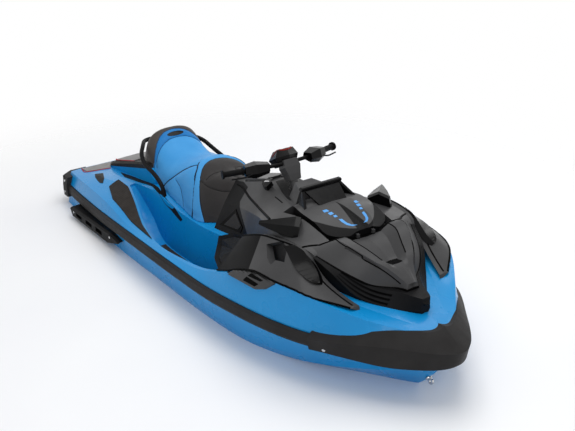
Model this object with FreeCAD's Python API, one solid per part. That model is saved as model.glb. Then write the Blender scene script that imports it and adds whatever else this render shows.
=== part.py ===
"""A three-seat personal watercraft, built from its moulded hull and deck outwards.

Positions are written as (s, y, h): s runs forward from the stern, y to port and h up from the keel.
The exported frame has +X forward, +Y to port and +Z up, with its origin at the middle of the
length, on the centre plane, at the design waterline.
"""
import FreeCAD, Part
import math
import os

V = FreeCAD.Vector

# Driving dimensions, in millimetres and degrees
LENGTH = 3450.0            # stern bumper to bow bumper
BEAM = 1255.0              # over the side rails
DRAFT = 235.0              # keel to waterline, unladen
RAIL_HEIGHT = 74.0
BOW_BUMPER_START = 2868.0
STERN_FACE = 60.0          # flat stern face of hull and deck
FOOTWELL_FLOOR = 305.0     # height of the footwell floor above the keel
WELL_FRONT = 2330.0
FIT = 0.3                  # gap between curved moulded pieces that touch
RUNNING_GAP = 6.0          # gap round anything that moves
MAT_THICKNESS = 7.0
PAD_THICKNESS = 8.0

PUMP_AXIS_HEIGHT = 172.0
PUMP_BORE_R = 81.0
PUMP_WALL = 9.0
IMPELLER_R = PUMP_BORE_R - RUNNING_GAP
SHAFT_R = 13.0
TUNNEL_HALF_WIDTH = 160.0
TUNNEL_TOP = 318.0
TUNNEL_END = 720.0
INTAKE_S = (800.0, 1290.0)
INTAKE_HALF_WIDTH = 92.0
NOZZLE_PIVOT_S = 232.0
NOZZLE_OUTLET_S = 118.0
BUCKET_PIVOT_S = 305.0
BUCKET_R = 210.0
BUCKET_ARM_Y = 120.0
BUCKET_PLATE = 7.0
PUMP_END = 278.0
NOZZLE_LUG = 100.0         # pump axis to the lugs above and below the nozzle

STEER_PIVOT = (2085.0, 0.0, 955.0)
STEER_TILT = 30.0          # lean of the steering axis aft of upright
BAR_HALF_SPAN = 388.0
BAR_R = 11.0
GRIP_R = 17.0
GRIP_LENGTH = 122.0

CONSOLE_START = 1604.0
HOOD_START = 2702.0
LID_S = (2268.0, 2696.0)
LID_HALF_WIDTH = 206.0     # at its widest
BOW_EYE_S = 3238.0
LID_HINGE = (2692.0, 908.0)      # s, h
LID_HINGE_Y = 52.0
HINGE_PIN_R = 5.0
HINGE_PIN_GAP = 0.3
GLOVEBOX_PIN_R = 3.5
GLOVEBOX_PIN_Y = 40.0
STERN_EYE = (STERN_FACE + 2, 300.0, 268.0)
EYE_HOLE_R = 9.0
EYE_THICKNESS = 10.0
EYE_REACH = 25.0
GLOVEBOX_S = (1690.0, 1900.0)
GLOVEBOX_HALF_WIDTH = 74.0
STEER_SHAFT_R = 26.0
PIN_R = 8.0
PIN_HOLE_R = 8.5


def row(shape):
    """Moves a shape from stern-and-keel coordinates to the exported frame."""
    moved = shape.copy()
    moved.translate(V(-LENGTH / 2, 0, -DRAFT))
    return moved


def smooth(points):
    """A monotone cubic through (x, value) pairs, flat beyond its ends."""
    xs = [p[0] for p in points]
    ys = [p[1] for p in points]
    n = len(xs)
    d = [(ys[i + 1] - ys[i]) / (xs[i + 1] - xs[i]) for i in range(n - 1)]
    m = [d[0]] + [0.0 if d[i - 1] * d[i] <= 0 else (d[i - 1] + d[i]) / 2 for i in range(1, n - 1)] + [d[-1]]
    for i in range(n - 1):
        if d[i] == 0:
            m[i] = m[i + 1] = 0.0
            continue
        a, b = m[i] / d[i], m[i + 1] / d[i]
        r = math.hypot(a, b)
        if r > 3:
            m[i], m[i + 1] = 3 * a / r * d[i], 3 * b / r * d[i]

    def value(x):
        if x <= xs[0]:
            return ys[0]
        if x >= xs[-1]:
            return ys[-1]
        i = max(k for k in range(n - 1) if xs[k] <= x)
        w = xs[i + 1] - xs[i]
        t = (x - xs[i]) / w
        return (ys[i] * (1 + 2 * t) * (1 - t) ** 2 + m[i] * w * t * (1 - t) ** 2
                + ys[i + 1] * t * t * (3 - 2 * t) + m[i + 1] * w * t * t * (t - 1))
    return value


class Line:
    """A fore-and-aft line of the lines plan: breadth and height as smooth functions of s."""

    def __init__(self, *points):
        self.y = smooth([(p[0], p[1]) for p in points])
        self.h = smooth([(p[0], p[2]) for p in points])

    def at(self, s):
        return self.y(s), self.h(s)

    def moved(self, dy=0.0, dh=0.0):
        copy = Line.__new__(Line)
        copy.y = lambda s: self.y(s) + dy
        copy.h = lambda s: self.h(s) + dh
        return copy


def curve(points):
    """One smooth edge through points, or a straight one through two."""
    if len(points) == 2:
        return Part.LineSegment(points[0], points[1]).toShape()
    c = Part.BSplineCurve()
    c.interpolate(Points=points, Parameters=[float(i) for i in range(len(points))])
    return c.toShape()


def skin(rows):
    """A solid whose long edges are smooth lines. rows holds one closed ring of points per station."""
    n = len(rows[0])
    edges = [curve([r[i] for r in rows]) for i in range(n)]
    faces = [Part.makeRuledSurface(edges[i], edges[(i + 1) % n]) for i in range(n)]
    return closed(faces + cap(rows[0]) + cap(rows[-1]))


def triangle(a, b, c):
    return Part.Face(Part.makePolygon([a, b, c, a]))


def cap(ring):
    """One flat face over a ring of points, or triangles about its middle where the ring isn't flat."""
    normal = sum((a.cross(b) for a, b in zip(ring, ring[1:] + ring[:1])), V(0, 0, 0))
    normal.normalize()
    if max(abs((p - ring[0]).dot(normal)) for p in ring) < 1e-6:
        return [Part.Face(Part.makePolygon(ring + ring[:1]))]
    middle = sum(ring, V(0, 0, 0)) * (1.0 / len(ring))
    return [triangle(a, b, middle) for a, b in zip(ring, ring[1:] + ring[:1])]


def closed(faces):
    """A solid inside a set of faces that meet edge to edge."""
    shell = Part.makeShell(faces)
    shell.sewShape()
    solid = Part.makeSolid(shell if shell.ShapeType == "Shell" else shell.Shells[0])
    if solid.Volume < 0:
        solid.reverse()
    return solid


def mirrored(shape):
    return shape.mirror(V(0, 0, 0), V(0, 1, 0))


def both(shape):
    """A port piece with its starboard twin, as two solids."""
    return Part.makeCompound(shape.Solids + mirrored(shape).Solids)


def ring_at(s, half):
    """A closed ring across the boat from a half section listed from the bottom centre to the top."""
    ring = [V(s, y, h) for y, h in half]
    return ring + [V(s, -y, h) for y, h in reversed(half) if y > 0]


def stations(start, end, count):
    return [start + (end - start) * i / (count - 1) for i in range(count)]


def box(s0, s1, y0, y1, h0, h1):
    return Part.makeBox(s1 - s0, y1 - y0, h1 - h0, V(s0, y0, h0))


def tube_along(points, radius):
    """A round bar through points, its corners eased by arcs."""
    edges = []
    start = points[0]
    for before, corner, after in zip(points, points[1:], points[2:]):
        a = (before - corner)
        b = (after - corner)
        reach = min(a.Length, b.Length) * 0.45
        a.normalize()
        b.normalize()
        p, q = corner + a * reach, corner + b * reach
        middle_way = a + b
        turn = math.acos(max(-1.0, min(1.0, a.dot(b))))
        bend_r = reach * math.tan(turn / 2)
        middle_way.normalize()
        middle = corner + middle_way * (bend_r / math.sin(turn / 2) - bend_r)
        edges += [Part.LineSegment(start, p).toShape(), Part.Arc(p, middle, q).toShape()]
        start = q
    edges.append(Part.LineSegment(start, points[-1]).toShape())
    path = Part.Wire(edges)
    section = Part.Wire(Part.makeCircle(radius, points[0], points[1] - points[0]))
    return path.makePipeShell([section], True, True, 2)


def loft(wires, ruled=False):
    return Part.makeLoft(wires, True, ruled)


def polygon_prism(points, direction):
    face = Part.Face(Part.makePolygon(points + [points[0]]))
    return face.extrude(direction)


def largest(shape):
    return max(shape.Solids, key=lambda s: s.Volume)


# Lines plan: each point is (s, half breadth, height)
HULL_END = 3400.0
DECK_END = 3286.0
KEEL = Line((STERN_FACE, 0, 0), (2000, 0, 0), (2300, 0, 8), (2600, 0, 40), (2850, 0, 95), (3020, 0, 150),
            (3140, 0, 210), (3245, 0, 315), (3330, 0, 425), (HULL_END, 0, 492))
CHINE = Line((STERN_FACE, 500, 190), (600, 530, 198), (1000, 542, 208), (1440, 543, 228), (1900, 535, 226),
             (2260, 500, 215), (2400, 470, 222), (2550, 430, 240), (2700, 385, 262), (2850, 325, 292),
             (3000, 245, 325), (3150, 145, 362), (3300, 62, 432), (HULL_END, 20, 500))
KNUCKLE = Line((STERN_FACE, 506, 222), (600, 540, 232), (1000, 555, 244), (1440, 560, 262), (1900, 555, 265),
               (2260, 525, 262), (2400, 498, 268), (2550, 462, 285), (2700, 415, 308), (2850, 352, 338),
               (3000, 268, 372), (3150, 166, 408), (3300, 78, 456), (HULL_END, 28, 508))
BOND = Line((STERN_FACE, 488, 345), (230, 512, 358), (700, 562, 396), (1200, 590, 430), (1700, 602, 452),
            (2000, 603, 463), (2450, 583, 500), (2700, 530, 508), (2870, 466, 512), (3020, 378, 516),
            (3180, 268, 520), (3300, 160, 524), (HULL_END, 40, 528))
DECK_SIDE = BOND.moved(6.0, 42.0)
CREST = Line((STERN_FACE, 466, 462), (230, 492, 478), (500, 522, 498), (700, 540, 505), (900, 556, 497),
             (1100, 570, 482), (1450, 574, 492), (1700, 576, 508), (1930, 574, 538), (2100, 570, 590),
             (2253, 566, 655), (2420, 554, 722), (2600, 538, 748), (2800, 494, 752), (2940, 420, 722),
             (3020, 355, 690), (3100, 282, 662), (3200, 190, 640), (DECK_END, 104, 618))
SHOULDER = Line((STERN_FACE, 400, 466), (450, 390, 524), (700, 330, 552), (860, 262, 590), (950, 245, 595),
                (1090, 245, 566), (1450, 250, 550), (1600, 252, 566), (1940, 265, 640), (2100, 285, 700),
                (2300, 322, 745), (2600, 340, 742), (2800, 325, 712), (2943, 262, 682), (3100, 165, 655),
                (3200, 110, 645), (DECK_END, 58, 632))
CENTRE = Line((STERN_FACE, 0, 468), (450, 0, 532), (620, 0, 585), (900, 0, 640), (1400, 0, 610), (1900, 0, 690),
              (2300, 0, 755), (2700, 0, 752), (2943, 0, 700), (3100, 0, 668), (3200, 0, 656), (DECK_END, 0, 640))
FLOOR_INNER = Line((700, 300, 540), (850, 305, 470), (1000, 318, 390), (1150, 330, FOOTWELL_FLOOR),
                   (2000, 335, FOOTWELL_FLOOR - 8), (WELL_FRONT, 362, FOOTWELL_FLOOR))
FLOOR_OUTER = Line((700, 335, 540), (850, 372, 470), (1000, 415, 390), (1150, 470, FOOTWELL_FLOOR),
                   (1450, 525, FOOTWELL_FLOOR), (2000, 518, FOOTWELL_FLOOR - 8), (WELL_FRONT, 474, FOOTWELL_FLOOR))
DECK_UNDER = Line((STERN_FACE, 380, 345), (700, 420, 396), (1000, 460, 345), (1150, 520, FOOTWELL_FLOOR - 24),
                  (2000, 538, FOOTWELL_FLOOR - 32), (2240, 512, FOOTWELL_FLOOR - 28), (2380, 484, FOOTWELL_FLOOR),
                  (2520, 452, 410),
                  (2640, 420, 500), (2870, 330, 508), (3110, 150, 515), (HULL_END, 20, 526))
WELL_OUTER_TOP = Line((700, 338, 560), (1000, 432, 520), (1200, 500, 500), (1450, 556, 492), (1930, 556, 540),
                      (2253, 548, 655), (WELL_FRONT, 540, 690))
WELL_INNER_TOP = Line((700, 296, 575), (860, 290, 600), (1090, 272, 566), (1450, 276, 550), (1600, 278, 566),
                      (1940, 296, 640), (WELL_FRONT, 345, 742))
HULL_STATIONS = [STERN_FACE, 330, 700, 1050, 1400, 1750, 2050, 2300, 2500, 2680, 2840, 2980, 3110, 3230, 3330, HULL_END]
DECK_STATIONS = [STERN_FACE, 250, 480, 700, 860, 980, 1120, 1400, 1650, 1880, 2060, 2240, 2420, 2600, 2780, 2920,
                 3040, 3150, 3220, DECK_END]


def hull():
    rings = []
    for s in HULL_STATIONS:
        yb, hb = BOND.at(s)
        rings.append(ring_at(s, [KEEL.at(s), CHINE.at(s), KNUCKLE.at(s), (yb, hb), (0, hb)]))
    body = skin(rings)
    body = body.cut(tunnel())
    body = body.cut(intake_duct())
    body = body.cut(shaft_bore())
    body = body.cut(engine_bay())
    body = body.cut(storage_well())
    return largest(body)


def tunnel():
    """The round-topped recess that the jet pump sits in."""
    r = TUNNEL_HALF_WIDTH
    pts = [V(0, -r, -60), V(0, -r, TUNNEL_TOP - 60), V(0, -r + 60, TUNNEL_TOP), V(0, r - 60, TUNNEL_TOP),
           V(0, r, TUNNEL_TOP - 60), V(0, r, -60)]
    return polygon_prism(pts, V(TUNNEL_END, 0, 0))


def intake_duct():
    """The sloping duct from the opening in the bottom up to the pump."""
    mouth_half = INTAKE_HALF_WIDTH
    mouth_start, mouth_end = INTAKE_S
    mouth = Part.makePolygon([V(mouth_start, -mouth_half, -20), V(mouth_end, -mouth_half, -20),
                              V(mouth_end, mouth_half, -20), V(mouth_start, mouth_half, -20),
                              V(mouth_start, -mouth_half, -20)])
    r = PUMP_BORE_R
    c = PUMP_AXIS_HEIGHT
    throat = Part.makePolygon([V(TUNNEL_END - 1, -r, c - r), V(TUNNEL_END - 1, -r, c + r), V(TUNNEL_END - 1, r, c + r),
                               V(TUNNEL_END - 1, r, c - r), V(TUNNEL_END - 1, -r, c - r)])
    return loft([mouth, throat], True)


def shaft_bore():
    return Part.makeCylinder(SHAFT_R + RUNNING_GAP, 460, V(TUNNEL_END, 0, PUMP_AXIS_HEIGHT), V(1, 0, 0))


ENGINE_S = (1180.0, 1760.0)
ENGINE_HALF_WIDTH = 185.0
ENGINE_H = (150.0, 500.0)
BAY_CLEARANCE = 20.0


def engine_bay():
    return box(ENGINE_S[0] - BAY_CLEARANCE, ENGINE_S[1] + BAY_CLEARANCE, -ENGINE_HALF_WIDTH - BAY_CLEARANCE,
               ENGINE_HALF_WIDTH + BAY_CLEARANCE, ENGINE_H[0], ENGINE_H[1] + 6)


def engine():
    return box(ENGINE_S[0], ENGINE_S[1], -ENGINE_HALF_WIDTH, ENGINE_HALF_WIDTH, ENGINE_H[0], ENGINE_H[1])


BIN_S = (2300.0, 2640.0)
BIN_HALF_WIDTH = 178.0
BIN_H = (440.0, 868.0)
BIN_WALL = 6.0


def storage_well():
    return box(BIN_S[0], BIN_S[1], -BIN_HALF_WIDTH, BIN_HALF_WIDTH, BIN_H[0], 1200)


def footwell(side):
    """The trough that a foot stands in: open above, closed fore and aft."""
    reach = 420.0
    rings = []
    for s in [700, 850, 1000, 1150, 1450, 1750, 2000, 2180, WELL_FRONT]:
        yo, ho = WELL_OUTER_TOP.at(s)
        yi, hi = WELL_INNER_TOP.at(s)
        fo, go = FLOOR_OUTER.at(s)
        fi, gi = FLOOR_INNER.at(s)
        out = (yo - fo) / max(ho - go, 20.0)
        inn = (yi - fi) / max(hi - gi, 20.0)
        rings.append([V(s, side * y, h) for y, h in ((fi, gi), (fo, go), (fo + out * reach, go + reach),
                                                     (fi + inn * reach, gi + reach))])
    return skin(rings)


def deck():
    rings = []
    for s in DECK_STATIONS:
        under = DECK_UNDER.at(s)
        rings.append(ring_at(s, [(0, under[1]), under, BOND.at(s), DECK_SIDE.at(s), CREST.at(s), SHOULDER.at(s),
                                 CENTRE.at(s)]))
    body = skin(rings)
    for side in (1, -1):
        body = body.cut(footwell(side))
    body = body.cut(engine_bay())
    body = body.cut(storage_well())
    return largest(body)


def side_rail(body):
    """The rubber rail along the joint of hull and deck, on the port side."""
    rings = []
    for s in [STERN_FACE + 60, 400, 750, 1100, 1450, 1800, 2100, 2350, 2550, 2720, BOW_BUMPER_START]:
        y, h = BOND.at(s)
        out = y + (BEAM / 2 - 603.0)
        half = RAIL_HEIGHT / 2
        rings.append([V(s, y - 14, h - half + 8), V(s, out - 9, h - half), V(s, out, h - half + 16),
                      V(s, out, h + half - 16), V(s, out - 9, h + half), V(s, y - 14, h + half - 4)])
    rail = skin(rings)
    for piece in body:
        rail = rail.cut(piece)
    return largest(rail)


def bow_bumper(body):
    """The faceted nose guard: a low wall, a crest line and a sloping upper face, mirrored at the centre."""
    start = BOW_BUMPER_START + 0.5
    low = [V(start, 490, 462), V(3010, 404, 460), V(3190, 296, 460), V(3300, 198, 462), V(3385, 100, 468), V(3420, 0, 474)]
    crest = [V(start, 506, 530), V(3030, 412, 548), V(3170, 300, 562), V(3290, 205, 568), V(3400, 104, 568),
             V(LENGTH, 0, 568)]
    top = [V(start, 474, 566), V(2990, 382, 592), V(3106, 298, 618), V(3200, 202, 636), V(3288, 95, 634), V(3310, 0, 648)]
    inner = [V(start, 430, 560), V(2960, 330, 590), V(3060, 250, 610), V(3140, 170, 625), V(3210, 80, 625), V(3230, 0, 640)]
    base = [V(start, 400, 475), V(2960, 330, 475), V(3060, 250, 475), V(3140, 170, 475), V(3210, 80, 475), V(3230, 0, 475)]
    rows = [[a[i] for a in (low, crest, top, inner, base)] for i in range(len(low))]
    half = skin(rows)
    whole = half.fuse(mirrored(half))
    for piece in body:
        whole = whole.cut(piece)
    return largest(whole)


def side_ring(s, low, high, gap):
    """Points up the outside of hull and deck at a station, from height low to height high."""
    def between(p, q, h):
        k = (h - p[1]) / (q[1] - p[1])
        return p[0] + k * (q[0] - p[0]), h
    knuckle, bond, side, crest = KNUCKLE.at(s), BOND.at(s), DECK_SIDE.at(s), CREST.at(s)
    points = [between(knuckle, bond, low), bond, side, between(side, crest, high)]
    return [V(s, y + gap, h) for y, h in points]


def stern_bumper():
    """The rubber corner at the stern, port side."""
    low, high = 300.0, 446.0
    stern = STERN_FACE - FIT
    outline = [V(0, 330, low), V(0, 448, low), V(40, 508, low), V(stern, 532, low), V(stern, 330, low)]
    corner = polygon_prism(outline, V(0, 0, high - low))
    rows = []
    for s in (stern, STERN_FACE + 30, STERN_FACE + 58):
        inner = side_ring(s, low, high, FIT)
        outer = [V(s, max(p.y + 12, y), p.z) for p, y in zip(inner, (532, 536, 536, 524))]
        rows.append(inner + outer[::-1])
    return largest(corner.fuse(skin(rows)))


def sponson(body):
    """The adjustable stabiliser bolted to the hull side, with three cut-outs, port side."""
    outer = [V(345, 0, 276), V(312, 0, 322), V(900, 0, 354), V(1027, 0, 338), V(870, 0, 284)]
    def ring(y, grow):
        return Part.makePolygon([V(p.x, y, p.z - grow) for p in outer + [outer[0]]])
    wing = loft([ring(470, 0), ring(590, 6), ring(606, 14)], True)
    for k in range(3):
        s = 400 + 150 * k
        wing = wing.cut(box(s, s + 90, 572, 640, 280 + 4 * k, 306 + 6 * k))
    for piece in body:
        wing = wing.cut(piece)
    return largest(wing)


def section_wire(s, width, top, base, flare, crown):
    """A seat section: flat base, sloping sides and a crowned top."""
    yb = width + flare
    pts = [V(s, -yb, base), V(s, -width - flare * 0.35, base + (top - base) * 0.55),
           V(s, -width * 0.86, top - crown * 0.75), V(s, -width * 0.45, top - crown * 0.12), V(s, 0, top),
           V(s, width * 0.45, top - crown * 0.12), V(s, width * 0.86, top - crown * 0.75),
           V(s, width + flare * 0.35, base + (top - base) * 0.55), V(s, yb, base)]
    c = Part.BSplineCurve()
    c.interpolate(pts)
    return Part.Wire([c.toShape(), Part.LineSegment(pts[-1], pts[0]).toShape()])


SEAT_SPLIT = 1113.0        # where the seats meet on the centre plane
SEAT_FRONT_END = CONSOLE_START - FIT
SEAT_TAIL = 560.0
SEAT_TOP = [(SEAT_TAIL, 792), (620, 860), (690, 882), (760, 850), (840, 802), (950, 770), (1050, 785), (1130, 815),
            (1210, 840), (1290, 838), (1400, 818), (1500, 828), (1610, 850)]
SEAT_WIDTH = [(SEAT_TAIL, 150), (700, 176), (900, 185), (1100, 192), (1300, 198), (1420, 182), (1500, 146), (1610, 104)]
SEAT_FLARE = [(SEAT_TAIL, 40), (900, 45), (1100, 50), (1300, 62), (1500, 110), (1610, 130)]
SEAT_BASE = [(SEAT_TAIL, 560), (900, 560), (1100, 545), (1450, 530), (1610, 545)]


def seat_whole():
    """Both seats as one body, before they are parted."""
    top, width, flare, base = (smooth(line) for line in (SEAT_TOP, SEAT_WIDTH, SEAT_FLARE, SEAT_BASE))
    places = [s for s, _ in SEAT_TOP[:-1]] + [SEAT_FRONT_END]
    return loft([section_wire(s, width(s), top(s), base(s), flare(s), 56) for s in places])


def passenger_side(gap):
    """All that lies behind the V-shaped joint between the seats."""
    reach = 400.0
    plan = [V(0, -reach, 0), V(SEAT_SPLIT + reach + gap, -reach, 0), V(SEAT_SPLIT + gap, 0, 0),
            V(SEAT_SPLIT + reach + gap, reach, 0), V(0, reach, 0)]
    return polygon_prism(plan, V(0, 0, 1200))


def seat_base(body):
    """The black moulding that carries the passenger seat and slopes down behind it."""
    rings = []
    for s, half, h in ((168, 192, 508), (250, 230, 545), (480, 236, 622), (700, 242, 690), (790, 244, 690), (880, 244, 640)):
        rings.append(ring_at(s, [(0, 440), (half, 440), (half, h - 14), (half - 12, h), (0, h + 8)]))
    return cut_all(skin(rings), body)


GRAB_RAIL_R = 14.0


def grab_rail(body):
    """The passenger's hoop: up both sides of the seat and round behind its back."""
    port = [V(1035, 258, 552), V(1010, 262, 640), V(920, 266, 690), V(780, 264, 712), V(700, 240, 752), V(620, 180, 776),
            V(524, 120, 768)]
    return cut_all(tube_along(port + [V(p.x, -p.y, p.z) for p in reversed(port)], GRAB_RAIL_R), body)


COWL_STATIONS = [CONSOLE_START, 1704, 1830, 1950, 2085, 2190, 2300, 2420, 2540, 2640, HOOD_START - 3]
COWL_TOP = Line((CONSOLE_START, 84, 846), (1704, 86, 868), (1850, 90, 920), (1950, 94, 944), (2085, 112, 938),
                (2190, 138, 932), (2300, 170, 938), (2420, 204, 946), (2540, 212, 932), (HOOD_START, 205, 904))
COWL_MID = Line((CONSOLE_START, 168, 720), (1830, 196, 772), (1950, 222, 800), (2085, 262, 836), (2190, 300, 862),
                (2300, 336, 882), (2420, 360, 892), (2540, 364, 896), (2640, 350, 890), (HOOD_START, 330, 866))
COWL_LOW = Line((CONSOLE_START, 250, 560), (1830, 258, 600), (1950, 262, 636), (2085, 296, 690), (2190, 330, 712),
                (2300, 366, 724), (2420, 398, 728), (2540, 404, 730), (HOOD_START, 372, 714))


def cowl(body):
    """The console and shoulder moulding between the seat and the hood, open over the bin and the glovebox."""
    rings = []
    for s in COWL_STATIONS:
        top = COWL_TOP.at(s)
        rings.append(ring_at(s, [(0, COWL_LOW.h(s) - 40), COWL_LOW.at(s), COWL_MID.at(s), top, (0, top[1] + 4)]))
    piece = skin(rings)
    piece = piece.cut(box(BIN_S[0], BIN_S[1], -BIN_HALF_WIDTH, BIN_HALF_WIDTH, 300, 1200))
    piece = piece.cut(lid_space())
    piece = piece.cut(glovebox_hollow())
    for lug in glovebox_lugs():
        piece = piece.fuse(lug)
    piece = piece.cut(steering_well()).fuse(steering_bearing())
    for other in body:
        piece = piece.cut(other)
    return largest(piece)


def steer_point(along, forward=0.0, y=0.0):
    """A point given by its distance up the steering axis, then square to it forward and to port."""
    a = math.radians(STEER_TILT)
    p = V(*STEER_PIVOT)
    return p + V(-math.sin(a), 0, math.cos(a)) * along + V(math.cos(a), 0, math.sin(a)) * forward + V(0, y, 0)


def steer_axis():
    return steer_point(1) - steer_point(0)


def steering_well():
    """The mouth in the console that the steering shaft turns in."""
    return Part.makeCylinder(STEER_SHAFT_R + RUNNING_GAP, 400, steer_point(-130), steer_axis())


def steering_bearing():
    """The collar in that mouth, which the shaft runs in."""
    ring = Part.makeCylinder(STEER_SHAFT_R + RUNNING_GAP + 1, 22, steer_point(-80), steer_axis())
    return ring.cut(Part.makeCylinder(STEER_SHAFT_R + 0.1, 22, steer_point(-80), steer_axis()))


def glovebox_hollow():
    pocket = box(GLOVEBOX_S[0] + 14, GLOVEBOX_S[1] - 14, -GLOVEBOX_HALF_WIDTH + 12, GLOVEBOX_HALF_WIDTH - 12, 760, 1200)
    lid_recess = glovebox_slab(-RUNNING_GAP, 60, RUNNING_GAP)
    return pocket.fuse(lid_recess)


def glovebox_slab(low, high, grow):
    """A slab that follows the slope of the console's top over the glovebox."""
    (s0, s1), y = GLOVEBOX_S, GLOVEBOX_HALF_WIDTH + grow
    h0, h1 = COWL_TOP.h(s0) + low, COWL_TOP.h(s1) + low
    pts = [V(s0 - grow, -y, h0), V(s1 + grow, -y, h1), V(s1 + grow, -y, h1 + high), V(s0 - grow, -y, h0 + high)]
    return polygon_prism(pts, V(0, 2 * y, 0))


def glovebox_pin(y, length, radius):
    return Part.makeCylinder(radius, length, V(*glovebox_hinge(y - length / 2)), V(0, 1, 0))


def glovebox_hinge(y):
    s = GLOVEBOX_S[1] - 8
    return s, y, COWL_TOP.h(s) + 10


def glovebox_lid():
    lid = glovebox_slab(2, 16, 0)
    s, _, h = glovebox_hinge(0)
    for y in (GLOVEBOX_PIN_Y, -GLOVEBOX_PIN_Y):
        lid = lid.cut(box(s - 8, s + 20, y - 11, y + 11, h - 30, h + 30))
        lid = lid.fuse(glovebox_pin(y, 26, GLOVEBOX_PIN_R))
    return largest(lid)


def glovebox_lugs():
    """The two lugs on the console that hold the glovebox lid's pins."""
    lugs = []
    for y in (GLOVEBOX_PIN_Y, -GLOVEBOX_PIN_Y):
        s, _, h = glovebox_hinge(y)
        lug = box(s, s + 26, y - 6, y + 6, h - 6, h + 4).fuse(glovebox_pin(y, 12, 6.5))
        lugs.append(lug.cut(glovebox_pin(y, 40, GLOVEBOX_PIN_R + HINGE_PIN_GAP)))
    return lugs


def bin_liner():
    outer = box(BIN_S[0], BIN_S[1], -BIN_HALF_WIDTH, BIN_HALF_WIDTH, BIN_H[0], BIN_H[1])
    inner = box(BIN_S[0] + BIN_WALL, BIN_S[1] - BIN_WALL, -BIN_HALF_WIDTH + BIN_WALL, BIN_HALF_WIDTH - BIN_WALL,
                BIN_H[0] + BIN_WALL, BIN_H[1] + 1)
    return outer.cut(inner)


# Storage lid: (s, half breadth, height) of its gable
LID_RIDGE = Line((LID_S[0], 0, 952), (2400, 0, 985), (2475, 0, 991), (2560, 0, 974), (2640, 0, 950), (LID_S[1], 0, 932))
LID_EDGE = Line((LID_S[0], 150, 938), (2368, 198, 968), (2440, 206, 966), (2540, 204, 951), (2647, 190, 918),
                (LID_S[1], 100, 915))


def lid_space():
    """The opening in the console and the hood's rear edge that the storage lid lies in."""
    reach = LID_HALF_WIDTH + RUNNING_GAP + 2
    return box(LID_S[0] - RUNNING_GAP, HOOD_START + 1, -reach, reach, BIN_H[1], 1200)


def storage_lid():
    rings = []
    for s in stations(LID_S[0], LID_S[1], 7):
        y, h = LID_EDGE.at(s)
        ridge = LID_RIDGE.h(s)
        rings.append(ring_at(s, [(0, LID_UNDERSIDE), (y * 0.94, LID_UNDERSIDE), (y, h), (y * 0.5, (h + ridge) / 2 + 8),
                                 (0, ridge)]))
    lid = skin(rings)
    lid = lid.cut(box(BIN_S[0] + 16, BIN_S[1] - 16, -110, 110, LID_UNDERSIDE - 1, LID_UNDERSIDE + 14))
    s, h = LID_HINGE
    for side in (1, -1):
        y = side * LID_HINGE_Y
        lid = lid.cut(box(s - 17, LID_S[1] + 1, y - 13, y + 13, LID_UNDERSIDE - 1, h + 17))
        lid = lid.fuse(Part.makeCylinder(HINGE_PIN_R, 30, V(s, y - 15, h), V(0, 1, 0)))
    return largest(lid)


def lid_hinge_lugs():
    """The two lugs on the hood's rear edge that hold the storage lid's pins."""
    s, h = LID_HINGE
    lugs = []
    for side in (1, -1):
        y = side * LID_HINGE_Y
        lug = box(s, HOOD_START + 6, y - 8, y + 8, h - 30, h + 6)
        lug = lug.fuse(Part.makeCylinder(9, 16, V(s, y - 8, h), V(0, 1, 0)))
        lugs.append(lug.cut(Part.makeCylinder(HINGE_PIN_R + HINGE_PIN_GAP, 40, V(s, y - 20, h), V(0, 1, 0))))
    return lugs


LID_UNDERSIDE = BIN_H[1] + RUNNING_GAP


def wind_deflector(lid):
    """The small screen on the lid: a top bar, a sloping panel below it and a wing at each side."""
    bar_half, bar_s, bar_h = 138.0, 2313.0, 1046.0
    def bar_ring(y, a, b):
        return [V(bar_s + ds, y, bar_h + dh) for ds, dh in ((-a, -b + 5), (-a + 5, -b), (a - 5, -b), (a, -b + 5), (a, b - 5),
                                                           (a - 5, b), (-a + 5, b), (-a, b - 5))]
    bar = skin_facets([bar_ring(-bar_half, 11, 8), bar_ring(-bar_half + 5, 14, 11), bar_ring(bar_half - 5, 14, 11),
                       bar_ring(bar_half, 11, 8)])
    foot_s, foot_h, foot_half = 2450.0, 974.0, 84.0
    def panel(ds, dh):
        return [V(bar_s + ds, -bar_half + 20, bar_h - 4 + dh), V(bar_s + ds, bar_half - 20, bar_h - 4 + dh),
                V(foot_s + ds, foot_half, foot_h + dh), V(foot_s + ds, -foot_half, foot_h + dh)]
    parts = [bar, skin_fan(panel(4, 0), panel(-6, -7))]
    for side in (1, -1):
        wing = [V(bar_s + 4, side * (bar_half - 9), bar_h - 2), V(2420, side * 186, 958), V(2380, side * 184, 918),
                V(2300, side * 150, 905), V(bar_s - 6, side * (bar_half - 11), bar_h - 6)]
        parts.append(polygon_solid(wing, 16 * side))
    shape = parts[0]
    for more in parts[1:]:
        shape = shape.fuse(more)
    return largest(shape.cut(lid))


def polygon_solid(points, thickness):
    """A plate through points that need not lie in one plane, thickened towards the centre plane."""
    inner = [V(p.x, p.y - thickness, p.z) for p in points]
    return skin_fan(points, inner)


def skin_fan(a, b):
    """A closed solid between two matching rings of points that need not be flat."""
    return skin_facets([a, b])


def skin_facets(rings):
    """A closed faceted solid through matching rings of points that need not be flat."""
    faces = cap(rings[0]) + cap(rings[-1])
    for a, b in zip(rings, rings[1:]):
        for p, q, r, s in zip(a, a[1:] + a[:1], b[1:] + b[:1], b):
            faces += [triangle(p, q, r), triangle(p, r, s)]
    return closed(faces)


def inset(ring, share, lift):
    """A ring drawn in towards its middle by a share, and lifted along its own normal."""
    middle = sum(ring, V(0, 0, 0)) * (1.0 / len(ring))
    normal = sum((a.cross(b) for a, b in zip(ring, ring[1:] + ring[:1])), V(0, 0, 0))
    normal.normalize()
    return [p + (middle - p) * share + normal * lift for p in ring]


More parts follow.
